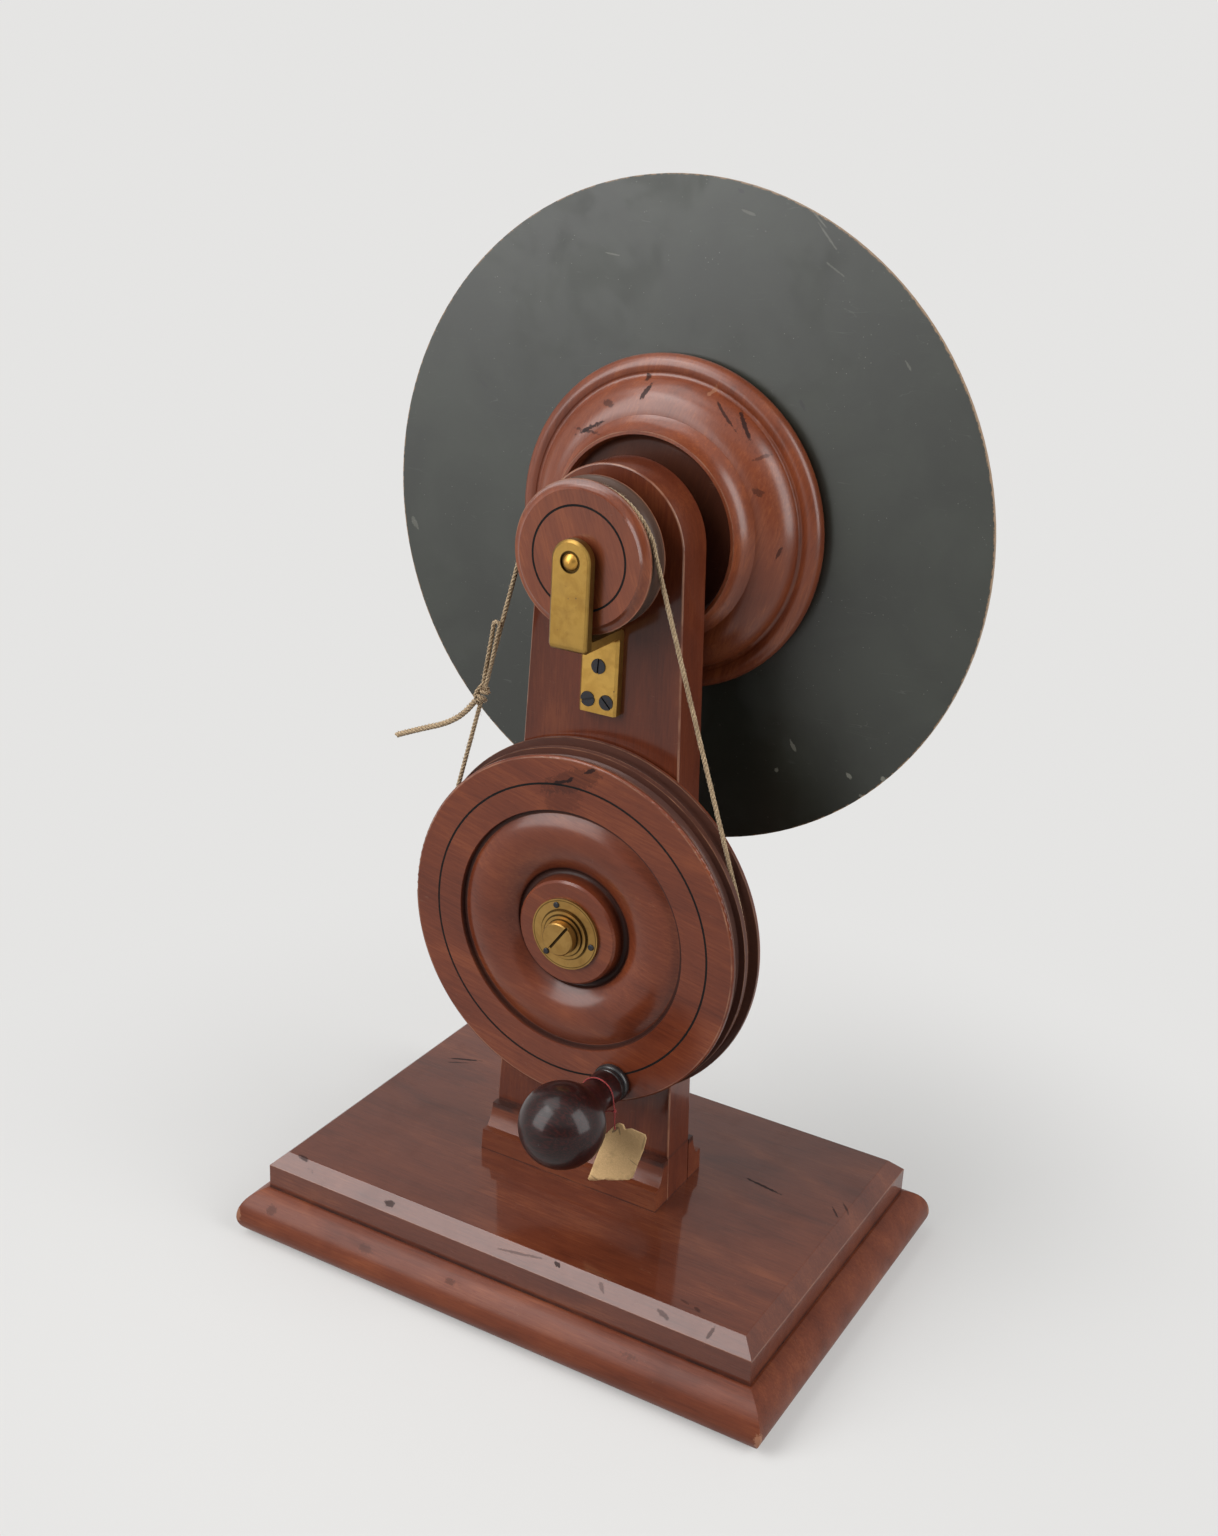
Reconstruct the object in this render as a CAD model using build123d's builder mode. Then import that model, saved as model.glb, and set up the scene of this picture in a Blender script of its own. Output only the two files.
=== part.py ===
from build123d import *

import os
from math import acos, asin, atan2, cos, hypot, pi, radians, sin, tan

os.makedirs("parts", exist_ok=True)

# A hand-cranked colour-mixing disc. Millimetres, +Z up, origin at the centre of the
# base's underside. Both axles lie along Y at x = 0: the wheel, its handle, the twine
# and the small pulley are on the -Y side of the upright, the disc is on the +Y side.

# ---- Clearances ----
fit_gap = 0.05  # radial, round a pin, screw, bush or journal
face_gap = 0.3  # along Y, between faces that turn past each other
cord_gap = 0.3  # between the twine and the groove that it lies in

# ---- Base: two slabs, the lower one moulded round its edge ----
base_length = 265.0
base_depth = 176.0
lower_slab_height = 25.0
nose_overhang = 12.0
nose_height = 9.7
ledge_width = 1.0
upper_slab_height = 19.5
upper_wall_height = 13.0
bevel_run = 6.8
slab_arris_radius = 0.8
slab_screw_inset = 27.0
slab_screw_bite = 13.0
base_top = lower_slab_height + upper_slab_height

# ---- Upright ----
upright_front = -12.0
upright_thickness = 21.0
upright_foot_half_width = 49.5
upright_head_radius = 36.4
upright_arris_radius = 0.9
wheel_height = 182.5
tenon_width = 70.0
tenon_thickness = 12.0
tenon_depth = 14.0
upright_screw_spacing = 40.0
upright_screw_length = 62.0
upright_rear = upright_front + upright_thickness
upright_middle = (upright_front + upright_rear) / 2

# ---- Foot mouldings ----
foot_depth = 12.5
foot_wall_height = 11.0
foot_step = 4.0
foot_cove_height = 11.5
foot_ledge = 4.5

# ---- Countersunk wood screws of the base ----
base_screw_radius = 2.2
base_screw_head_radius = 4.4
base_screw_recess = 1.2

# ---- Twine ----
cord_radius = 1.0
pulley_pitch_radius = 31.8
wheel_pitch_radius = 82.6
run_lead = 6.0  # straight in the groove's plane before the run slants across
pulley_groove_offset = 9.3  # from the pulley's front face
knot_height = 285.0
knot_radius = 3.1
knot_length = 10.0
knot_end_round = 1.7
cord_end_bite = 0.3
bend_share = 0.45  # of the shorter run beside a corner, taken up by its arc

# ---- Spindle and pulley ----
spindle_radius = 4.0
spindle_shoulder_radius = 8.0
pulley_standoff = 10.7
pulley_width = 15.6
pulley_front_radius = 33.5
pulley_rear_radius = 33.1
pulley_face_radius = 29.5
pulley_front_land = 0.9
pulley_face_bow = 0.8
pulley_rear_land = 2.3
pulley_groove_width = 9.5
pulley_ring_radius = 22.7
ring_inlay_width = 0.9
ring_inlay_depth = 1.0

# ---- Spindle bush in the upright ----
bush_wall = 3.0
bush_flange_radius = 11.0
bush_flange_thickness = 2.0
bush_front_lip = 1.5
spacer_radius = 8.0

# ---- Front bearing bracket and its screws ----
bracket_width = 19.0
bracket_thickness = 4.8
strap_gap = 2.1
bracket_gap = 1.2  # below the pulley
bracket_plate_height = 40.3
bracket_wheel_gap = 13.7  # from the drive wheel's largest rim up to the bracket's plate
bracket_outer_bend = 3.0
bracket_inner_bend = 1.6
bracket_chamfer = 1.2
bracket_screw_radius = 1.6
bracket_screw_head_radius = 3.5
bracket_screw_head_depth = 1.8
bracket_screw_rise = 0.4
bracket_screw_length = 14.0
bracket_top_screw_drop = 18.3
bracket_low_screw_drop = 34.3
bracket_low_screw_spacing = 9.4
slot_width = 0.8
slot_depth = 0.7
pivot_radius = 1.6
pivot_depth = 5.0
pivot_shank_radius = 3.0
pivot_head_radius = 3.9
pivot_head_rise = 2.2
pivot_recess_radius = 4.6
pivot_recess_depth = 0.8

# ---- Hub flange behind the disc ----
hub_standoff = 6.2
hub_depth = 30.8
hub_rim_radius = 76.6
hub_bead_radius = 5.0
hub_lip_radius = 46.1
hub_lip_width = 1.6
hub_dish_depth = 6.0
hub_dish_radius = 44.0
hub_dish_lead = 1.0
hub_cove_run = 10.3  # along Y, from the lip to the swelling
hub_cove_rise = 5.4
hub_cove_bow = 1.7
hub_swell_bow = 3.0
hub_rim_cove_run = 0.6
hub_rim_cove_rise = 2.6
hub_rim_cove_bow = 0.8
hub_bead_cut = 0.5  # the part of the bead that the flat rear face cuts off
hub_bead_start_angle = 208.0
hub_bead_middle_angle = 125.0

# ---- Disc and its far-side clamp ----
disc_radius = 152.0
disc_thickness = 2.0
sector_count = 7
sector_colours = ("red", "orange", "yellow", "green", "blue", "indigo", "violet")
sector_thickness = 0.3
sector_margin = 2.0
sector_inner_radius = 16.0
sector_gap = 0.2
disc_washer_radius = 14.0
disc_washer_thickness = 1.5
disc_nut_radius = 7.5
disc_nut_thickness = 6.0
spindle_tail = 1.5

# ---- Drive wheel ----
wheel_thickness = 20.1
thrust_washer_thickness = 1.3
thrust_washer_radius = 11.0
wheel_rear_radius = 87.8
wheel_ridge_radius = 85.3
wheel_front_radius = 84.5
wheel_rear_land = 2.0
belt_groove_width = 5.2
wheel_ridge_width = 3.0
idle_groove_width = 7.7
idle_groove_depth = 4.5
wheel_arris = 1.0
wheel_ring_radius = 71.35
quirk_radius = 59.0
quirk_depth = 2.4
quirk_slope = 0.8
torus_outer_radius = 56.6
torus_inner_radius = 29.6
torus_drop = 5.0
torus_rise = 4.1
boss_radius = 25.4
boss_proud = 1.0
boss_foot_flare = 0.6
boss_groove_bow = 1.4

# ---- Wheel bush, its plate and the axle screw ----
axle_radius = 5.0
wheel_bush_radius = 7.0
bush_plate_radius = 17.2
bush_plate_thickness = 1.5
bush_step_radius = 11.7
bush_step_rise = 1.2
bush_nose_radius = 9.8
bush_nose_rise = 0.8
bush_screw_circle = 14.4
bush_screw_radius = 0.9
bush_screw_head_radius = 1.5
bush_screw_head_rise = 0.7
bush_screw_head_round = 0.5
bush_screw_length = 8.0
bush_screw_start = 110.0
axle_head_radius = 7.9
axle_head_height = 4.5
axle_head_chamfer = 0.5
axle_thread_radius = 4.0
axle_thread_length = 17.0
axle_slot_width = 1.3
axle_slot_depth = 1.8
axle_slot_angle = 55.0

# ---- Handle ----
crank_radius = 74.0
crank_angle = 22.2  # from straight down, towards +X
collar_radius = 9.3
collar_length = 6.3
collar_nose_radius = 8.2
collar_bead_length = 3.7
collar_round = 0.8
handle_pin_radius = 3.0
handle_pin_head_radius = 5.0
handle_pin_head_thickness = 2.0
handle_pin_bite = 30.0
grip_root_radius = 8.5
grip_neck_radius = 7.9
grip_neck_offset = 7.7
grip_neck_bow = 0.2
grip_bulb_radius = 19.7
grip_bulb_join_angle = 34.0
grip_bulb_middle_angle = 30.0
grip_length = 58.2

# ---- Paper tag on its thread ----
thread_radius = 0.3
thread_gap = 0.15
thread_offset = 7.7  # from the grip's inner end to the thread's loop
thread_knot_radius = 0.9
thread_knot_bite = 0.27  # how far the loop's ends run into the knot
thread_stop_radius = 0.48  # the stop knot in the tag's hole
thread_knot_x = 9.4  # from the handle's axis
thread_knot_z = -5.6
tag_thickness = 0.3
tag_corner_radius = 1.5
tag_hole_radius = 0.9
tag_hole_x = 10.0
tag_hole_z = -14.6

# ---- Heights that follow from the sizes above ----
spindle_height = (
    wheel_height
    + wheel_rear_radius
    + bracket_wheel_gap
    + bracket_plate_height
    + bracket_gap
    + pulley_front_radius
)
axle_distance = spindle_height - wheel_height

# ---- Places along Y that follow from the sizes above ----
wheel_rear = upright_front - thrust_washer_thickness - face_gap
wheel_front = wheel_rear - wheel_thickness
pulley_rear = upright_front - pulley_standoff
pulley_front = pulley_rear - pulley_width
pulley_belt_y = pulley_front + pulley_groove_offset
wheel_groove_rear = wheel_rear - wheel_rear_land
wheel_groove_front = wheel_groove_rear - belt_groove_width
wheel_belt_y = (wheel_groove_rear + wheel_groove_front) / 2
strap_rear = pulley_front - strap_gap
strap_front = strap_rear - bracket_thickness
hub_front = upright_rear + hub_standoff
hub_rear = hub_front + hub_depth
hub_floor = hub_front + hub_dish_depth
disc_rear = hub_rear + disc_thickness
bush_flange_rear = upright_rear + bush_flange_thickness
clamp_rear = disc_rear + disc_washer_thickness + disc_nut_thickness
spindle_front = strap_rear + face_gap
boss_front = wheel_front - boss_proud
plate_front = boss_front - bush_plate_thickness
bush_nose_front = plate_front - bush_step_rise - bush_nose_rise
crank_x = crank_radius * sin(radians(crank_angle))
crank_z = wheel_height - crank_radius * cos(radians(crank_angle))
collar_front = wheel_front - collar_length
grip_root = collar_front - face_gap
grip_end = grip_root - grip_length
tag_y = grip_root - thread_offset


def front_plane(y):
    """Upright plane facing the crank side: local x is X, local y is Z."""
    return Plane(origin=(0, y, 0), x_dir=(1, 0, 0), z_dir=(0, -1, 0))


def half_section(x, z):
    """Plane of a turned outline round the line along Y at (x, z): local (y, radius)."""
    return Plane(origin=(x, 0, z), x_dir=(0, 1, 0), z_dir=(1, 0, 0))


def turning_axis(x, z):
    return Axis((x, 0, z), (0, 1, 0))


def ring(y_from, y_to, inner, outer):
    """Draws one plain step of a turned piece in a half section."""
    with Locations(((y_from + y_to) / 2, (inner + outer) / 2)):
        Rectangle(y_to - y_from, outer - inner)


spindle_section = half_section(0, spindle_height)
spindle_axis = turning_axis(0, spindle_height)
wheel_section = half_section(0, wheel_height)
wheel_axis = turning_axis(0, wheel_height)
crank_section = half_section(crank_x, crank_z)
crank_axis = turning_axis(crank_x, crank_z)


# ---- Base ----
def lower_slab_outline(half):
    """End view of the moulded slab: ledge, shoulder, round nose, flat underside."""
    nose_tip = half + nose_overhang
    with BuildSketch() as outline:
        with BuildLine():
            Line((0, 0), (nose_tip - nose_height, 0))
            TangentArc((nose_tip - nose_height, 0), (nose_tip, nose_height), tangent=(1, 0))
            TangentArc(
                (nose_tip, nose_height), (half + ledge_width, lower_slab_height), tangent=(0, 1)
            )
            Line((half + ledge_width, lower_slab_height), (0, lower_slab_height))
            mirror(about=Plane.YZ)
        make_face()
    return outline.sketch


def upper_slab_outline(half):
    """End view of the plain slab: upright wall and a broad bevel."""
    bevel_foot = lower_slab_height + upper_wall_height
    with BuildSketch() as outline:
        with BuildLine():
            Polyline(
                (0, lower_slab_height),
                (half, lower_slab_height),
                (half, bevel_foot),
                (half - bevel_run, base_top),
                (0, base_top),
            )
            mirror(about=Plane.YZ)
        make_face()
    return outline.sketch


slab_screw_places = GridLocations(
    base_length - 2 * slab_screw_inset, base_depth - 2 * slab_screw_inset, 2, 2
).locations
upright_screw_places = [
    Location((side * upright_screw_spacing / 2, -upright_middle, 0)) for side in (-1, 1)
]
underside = Plane(origin=(0, 0, 0), x_dir=(1, 0, 0), z_dir=(0, 0, -1))
slab_screw_length = lower_slab_height + slab_screw_bite - base_screw_recess
screw_head_depth = base_screw_head_radius - base_screw_radius

with BuildPart() as base_lower_slab:
    with BuildSketch(Plane.XZ):
        add(lower_slab_outline(base_length / 2))
    extrude(amount=base_depth, both=True)
    with BuildSketch(Plane.YZ):
        add(lower_slab_outline(base_depth / 2))
    extrude(amount=base_length, both=True, mode=Mode.INTERSECT)
    with BuildSketch(underside):
        with Locations(*slab_screw_places, *upright_screw_places):
            Circle(base_screw_head_radius + fit_gap)
    extrude(amount=-base_screw_recess, mode=Mode.SUBTRACT)
    with BuildSketch(underside.offset(-base_screw_recess)):
        with Locations(*slab_screw_places, *upright_screw_places):
            Circle(base_screw_head_radius + fit_gap)
    extrude(amount=-screw_head_depth, taper=45, mode=Mode.SUBTRACT)
    with BuildSketch(underside):
        with Locations(*slab_screw_places, *upright_screw_places):
            Circle(base_screw_radius + fit_gap)
    extrude(amount=-lower_slab_height, mode=Mode.SUBTRACT)
base_lower_slab.part.label = "base_lower_slab"
export_step(base_lower_slab.part, "parts/base_lower_slab.step")

with BuildPart() as base_upper_slab:
    with BuildSketch(Plane.XZ):
        add(upper_slab_outline(base_length / 2))
    extrude(amount=base_depth, both=True)
    with BuildSketch(Plane.YZ):
        add(upper_slab_outline(base_depth / 2))
    extrude(amount=base_length, both=True, mode=Mode.INTERSECT)
    bevel_foot = lower_slab_height + upper_wall_height
    fillet(base_upper_slab.edges().filter_by_position(Axis.Z, bevel_foot, bevel_foot), slab_arris_radius)
    fillet(base_upper_slab.edges().filter_by_position(Axis.Z, base_top, base_top), slab_arris_radius)
    with BuildSketch(underside.offset(-lower_slab_height)):
        with Locations(*slab_screw_places):
            Circle(base_screw_radius + fit_gap)
    extrude(amount=-slab_screw_bite - fit_gap, mode=Mode.SUBTRACT)
    with BuildSketch(underside.offset(-lower_slab_height)):
        with Locations(*upright_screw_places):
            Circle(base_screw_radius + fit_gap)
    extrude(amount=-upper_slab_height, mode=Mode.SUBTRACT)
    with BuildSketch(Plane.XY.offset(base_top)):
        with Locations((0, upright_middle)):
            Rectangle(tenon_width + 2 * fit_gap, tenon_thickness + 2 * fit_gap)
    extrude(amount=-tenon_depth - fit_gap, mode=Mode.SUBTRACT)
base_upper_slab.part.label = "base_upper_slab"
export_step(base_upper_slab.part, "parts/base_upper_slab.step")


def draw_base_screws(places, length):
    """Countersunk screws driven up from the underside of the base."""
    with BuildPart() as screws:
        with BuildSketch(underside.offset(-base_screw_recess)):
            with Locations(*places):
                Circle(base_screw_head_radius)
        extrude(amount=-screw_head_depth, taper=45)
        with BuildSketch(underside.offset(-base_screw_recess)):
            with Locations(*places):
                Circle(base_screw_radius)
        extrude(amount=-length)
        with BuildSketch(underside.offset(-base_screw_recess)):
            with Locations(*places):
                Rectangle(2 * base_screw_head_radius, slot_width)
        extrude(amount=-slot_depth, mode=Mode.SUBTRACT)
    return screws


base_slab_screws = draw_base_screws(slab_screw_places, slab_screw_length)
base_slab_screws.part.label = "base_slab_screws"
export_step(base_slab_screws.part, "parts/base_slab_screws.step")

upright_screws = draw_base_screws(upright_screw_places, upright_screw_length)
upright_screws.part.label = "upright_screws"
export_step(upright_screws.part, "parts/upright_screws.step")


# ---- Upright and its foot mouldings ----
def upright_outline():
    """Tapered board whose sides run tangent into its round head."""
    foot_reach = hypot(upright_foot_half_width, spindle_height - base_top)
    foot_angle = atan2(base_top - spindle_height, upright_foot_half_width)
    tangent_angle = foot_angle + acos(upright_head_radius / foot_reach)
    tangent_x = upright_head_radius * cos(tangent_angle)
    tangent_z = spindle_height + upright_head_radius * sin(tangent_angle)
    with BuildSketch() as outline:
        with BuildLine():
            Polyline(
                (-tangent_x, tangent_z),
                (-upright_foot_half_width, base_top),
                (upright_foot_half_width, base_top),
                (tangent_x, tangent_z),
            )
            ThreePointArc(
                (tangent_x, tangent_z),
                (0, spindle_height + upright_head_radius),
                (-tangent_x, tangent_z),
            )
        make_face()
    return outline.sketch


bracket_plate_top = spindle_height - pulley_front_radius - bracket_gap
bracket_screw_places = (
    (0, bracket_plate_top - bracket_top_screw_drop),
    (-bracket_low_screw_spacing / 2, bracket_plate_top - bracket_low_screw_drop),
    (bracket_low_screw_spacing / 2, bracket_plate_top - bracket_low_screw_drop),
)
bracket_slot_angles = (86, 20, -45)
bush_outer_radius = spindle_radius + fit_gap + bush_wall

with BuildPart() as upright:
    with BuildSketch(front_plane(upright_rear)):
        add(upright_outline())
    extrude(amount=upright_thickness)
    for face_group in (upright.faces().sort_by(Axis.Y)[0], upright.faces().sort_by(Axis.Y)[-1]):
        fillet(face_group.edges().sort_by(Axis.Z)[1:], upright_arris_radius)
    with BuildSketch(Plane.XY.offset(base_top)):
        with Locations((0, upright_middle)):
            Rectangle(tenon_width, tenon_thickness)
    extrude(amount=-tenon_depth)
    with BuildSketch(underside.offset(-base_top + tenon_depth)):
        with Locations(*upright_screw_places):
            Circle(base_screw_radius + fit_gap)
    extrude(
        amount=-(base_screw_recess + upright_screw_length + fit_gap - base_top + tenon_depth),
        mode=Mode.SUBTRACT,
    )
    with BuildSketch(front_plane(upright_front)):
        with Locations((0, spindle_height)):
            Circle(bush_outer_radius + fit_gap)
    extrude(amount=-upright_thickness, mode=Mode.SUBTRACT)
    with BuildSketch(front_plane(upright_front)):
        with Locations((0, wheel_height)):
            Circle(axle_thread_radius + fit_gap)
    extrude(amount=-axle_thread_length - fit_gap, mode=Mode.SUBTRACT)
    with BuildSketch(front_plane(upright_front)):
        with Locations(*bracket_screw_places):
            Circle(bracket_screw_radius + fit_gap)
    extrude(amount=-bracket_screw_length, mode=Mode.SUBTRACT)
upright.part.label = "upright"
export_step(upright.part, "parts/upright.step")


def foot_moulding(face, outward):
    """Cove moulding at the foot of one face of the upright, its ends flush with the sides."""
    wall_top = base_top + foot_wall_height
    cove_top = wall_top + foot_cove_height
    cove_foot = face + outward * (foot_depth - foot_step)
    ledge_edge = face + outward * foot_ledge
    with BuildPart() as moulding:
        with BuildSketch(Plane.YZ):
            with BuildLine():
                Polyline(
                    (cove_foot, wall_top),
                    (face + outward * foot_depth, wall_top),
                    (face + outward * foot_depth, base_top),
                    (face, base_top),
                    (face, cove_top),
                    (ledge_edge, cove_top),
                )
                TangentArc((ledge_edge, cove_top), (cove_foot, wall_top), tangent=(0, -1))
            make_face()
        extrude(amount=upright_foot_half_width, both=True)
        with BuildSketch(Plane.XZ):
            add(upright_outline())
        extrude(amount=base_depth, both=True, mode=Mode.INTERSECT)
    return moulding


foot_moulding_front = foot_moulding(upright_front, -1)
foot_moulding_front.part.label = "foot_moulding_front"
export_step(foot_moulding_front.part, "parts/foot_moulding_front.step")

foot_moulding_rear = foot_moulding(upright_rear, 1)
foot_moulding_rear.part.label = "foot_moulding_rear"
export_step(foot_moulding_rear.part, "parts/foot_moulding_rear.step")

# ---- Spindle, its bush and spacer ----
with BuildPart() as spindle_bush:
    with BuildSketch(spindle_section):
        ring(
            upright_front - bush_front_lip, bush_flange_rear, spindle_radius + fit_gap, bush_outer_radius
        )
        ring(upright_rear, bush_flange_rear, bush_outer_radius, bush_flange_radius)
    revolve(axis=spindle_axis)
spindle_bush.part.label = "spindle_bush"
export_step(spindle_bush.part, "parts/spindle_bush.step")

with BuildPart() as pulley_spacer:
    with BuildSketch(spindle_section):
        ring(
            pulley_rear,
            upright_front - bush_front_lip - face_gap,
            spindle_radius + fit_gap,
            spacer_radius,
        )
    revolve(axis=spindle_axis)
pulley_spacer.part.label = "pulley_spacer"
export_step(pulley_spacer.part, "parts/pulley_spacer.step")

with BuildPart() as spindle:
    with BuildSketch(spindle_section):
        ring(spindle_front, clamp_rear + spindle_tail, 0, spindle_radius)
        ring(bush_flange_rear + face_gap, hub_floor, 0, spindle_shoulder_radius)
        with Locations(((spindle_front + strap_rear + pivot_depth) / 2, pivot_radius / 2)):
            Rectangle(
                strap_rear + pivot_depth - spindle_front,
                pivot_radius + 2 * fit_gap,
                mode=Mode.SUBTRACT,
            )
    revolve(axis=spindle_axis)
spindle.part.label = "spindle"
export_step(spindle.part, "parts/spindle.step")

# ---- Pulley ----
pulley_groove_radius = pulley_pitch_radius - cord_radius - cord_gap
pulley_groove_rear = pulley_rear - pulley_rear_land
pulley_groove_front = pulley_groove_rear - pulley_groove_width
pulley_edge = pulley_groove_front - pulley_front_land

with BuildPart() as pulley:
    with BuildSketch(spindle_section):
        with BuildLine():
            Polyline(
                (pulley_front, pulley_face_radius),
                (pulley_front, spindle_radius + fit_gap),
                (pulley_rear, spindle_radius + fit_gap),
                (pulley_rear, pulley_rear_radius),
                (pulley_groove_rear, pulley_rear_radius),
            )
            ThreePointArc(
                (pulley_groove_rear, pulley_rear_radius),
                ((pulley_groove_rear + pulley_groove_front) / 2, pulley_groove_radius),
                (pulley_groove_front, pulley_front_radius),
            )
            Line((pulley_groove_front, pulley_front_radius), (pulley_edge, pulley_front_radius))
            SagittaArc(
                (pulley_edge, pulley_front_radius),
                (pulley_front, pulley_face_radius),
                pulley_face_bow,
            )
        make_face()
        with Locations((pulley_front, pulley_ring_radius)):
            Rectangle(2 * ring_inlay_depth, ring_inlay_width + 2 * fit_gap, mode=Mode.SUBTRACT)
    revolve(axis=spindle_axis)
pulley.part.label = "pulley"
export_step(pulley.part, "parts/pulley.step")

with BuildPart() as pulley_inlay_ring:
    with BuildSketch(spindle_section):
        ring(
            pulley_front,
            pulley_front + ring_inlay_depth,
            pulley_ring_radius - ring_inlay_width / 2,
            pulley_ring_radius + ring_inlay_width / 2,
        )
    revolve(axis=spindle_axis)
pulley_inlay_ring.part.label = "pulley_inlay_ring"
export_step(pulley_inlay_ring.part, "parts/pulley_inlay_ring.step")

# ---- Bearing bracket: a bar bent twice, with a round upper end ----
plate_front_y = upright_front - bracket_thickness
shelf_bottom = bracket_plate_top - bracket_thickness
plate_bottom = bracket_plate_top - bracket_plate_height

with BuildPart() as bearing_bracket:
    with BuildSketch(Plane.YZ):
        with BuildLine():
            FilletPolyline(
                (strap_rear, spindle_height + bracket_width),
                (strap_rear, bracket_plate_top),
                (upright_front, bracket_plate_top),
                (upright_front, plate_bottom),
                radius=(bracket_inner_bend, bracket_outer_bend),
            )
            Line((upright_front, plate_bottom), (plate_front_y, plate_bottom))
            FilletPolyline(
                (plate_front_y, plate_bottom),
                (plate_front_y, shelf_bottom),
                (strap_front, shelf_bottom),
                (strap_front, spindle_height + bracket_width),
                radius=(bracket_inner_bend, bracket_outer_bend),
            )
            Line(
                (strap_front, spindle_height + bracket_width),
                (strap_rear, spindle_height + bracket_width),
            )
        make_face()
    extrude(amount=bracket_width / 2, both=True)
    with BuildSketch(front_plane(upright_front)):
        with Locations((0, (spindle_height + plate_bottom) / 2)):
            Rectangle(bracket_width, spindle_height - plate_bottom)
        with Locations((0, spindle_height)):
            Circle(bracket_width / 2)
    extrude(amount=upright_front - strap_front, mode=Mode.INTERSECT)
    strap_face = bearing_bracket.faces().sort_by(Axis.Y)[0]
    chamfer(strap_face.edges().sort_by(Axis.Z)[1:], bracket_chamfer)
    with BuildSketch(front_plane(strap_front)):
        with Locations((0, spindle_height)):
            Circle(pivot_recess_radius)
    extrude(amount=-pivot_recess_depth, mode=Mode.SUBTRACT)
    with BuildSketch(front_plane(strap_front)):
        with Locations((0, spindle_height)):
            Circle(pivot_shank_radius + fit_gap)
    extrude(amount=-bracket_thickness, mode=Mode.SUBTRACT)
    with Locations(front_plane(plate_front_y)):
        with Locations(*bracket_screw_places):
            CounterSinkHole(
                bracket_screw_radius + fit_gap,
                bracket_screw_head_radius + fit_gap,
                depth=bracket_thickness,
                counter_sink_angle=90,
            )
bearing_bracket.part.label = "bearing_bracket"
export_step(bearing_bracket.part, "parts/bearing_bracket.step")

with BuildPart() as bracket_screws:
    with BuildSketch(front_plane(plate_front_y)):
        with Locations(*bracket_screw_places):
            Circle(bracket_screw_head_radius)
    extrude(amount=-bracket_screw_head_depth, taper=45)
    with BuildSketch(front_plane(plate_front_y)):
        with Locations(*bracket_screw_places):
            Circle(bracket_screw_head_radius)
    extrude(amount=bracket_screw_rise)
    with BuildSketch(front_plane(plate_front_y)):
        with Locations(*bracket_screw_places):
            Circle(bracket_screw_radius)
    extrude(amount=-bracket_screw_length)
    with BuildSketch(front_plane(plate_front_y - bracket_screw_rise)):
        for (x, z), angle in zip(bracket_screw_places, bracket_slot_angles):
            with Locations(Location((x, z, 0), (0, 0, angle))):
                Rectangle(2 * bracket_screw_head_radius + 1, slot_width)
    extrude(amount=-slot_depth, mode=Mode.SUBTRACT)
bracket_screws.part.label = "bracket_screws"
export_step(bracket_screws.part, "parts/bracket_screws.step")

pivot_seat = strap_front + pivot_recess_depth
dome_radius = (pivot_head_radius**2 + pivot_head_rise**2) / (2 * pivot_head_rise)
dome_centre = pivot_seat - pivot_head_rise + dome_radius
dome_middle = asin(pivot_head_radius / dome_radius) / 2
with BuildPart() as pivot_screw:
    with BuildSketch(spindle_section):
        ring(strap_rear, strap_rear + pivot_depth - face_gap, 0, pivot_radius)
        ring(pivot_seat, strap_rear, 0, pivot_shank_radius)
        with BuildLine():
            Polyline(
                (pivot_seat - pivot_head_rise, 0),
                (pivot_seat, 0),
                (pivot_seat, pivot_head_radius),
            )
            ThreePointArc(
                (pivot_seat, pivot_head_radius),
                (dome_centre - dome_radius * cos(dome_middle), dome_radius * sin(dome_middle)),
                (pivot_seat - pivot_head_rise, 0),
            )
        make_face()
    revolve(axis=spindle_axis)
pivot_screw.part.label = "pivot_screw"
export_step(pivot_screw.part, "parts/pivot_screw.step")

# ---- Hub flange: rim bead, cove, broad swelling, second cove, lip and dish ----
bead_centre_y = hub_rear - hub_bead_radius + hub_bead_cut
bead_centre_r = hub_rim_radius - hub_bead_radius
bead_start = (
    bead_centre_y + hub_bead_radius * cos(radians(hub_bead_start_angle)),
    bead_centre_r + hub_bead_radius * sin(radians(hub_bead_start_angle)),
)
bead_middle = (
    bead_centre_y + hub_bead_radius * cos(radians(hub_bead_middle_angle)),
    bead_centre_r + hub_bead_radius * sin(radians(hub_bead_middle_angle)),
)
bead_end = (
    hub_rear,
    bead_centre_r + (hub_bead_radius**2 - (hub_rear - bead_centre_y) ** 2) ** 0.5,
)
cove_end = (hub_front + hub_cove_run, hub_lip_radius + hub_cove_rise)
swell_end = (bead_start[0] - hub_rim_cove_run, bead_start[1] - hub_rim_cove_rise)

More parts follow.
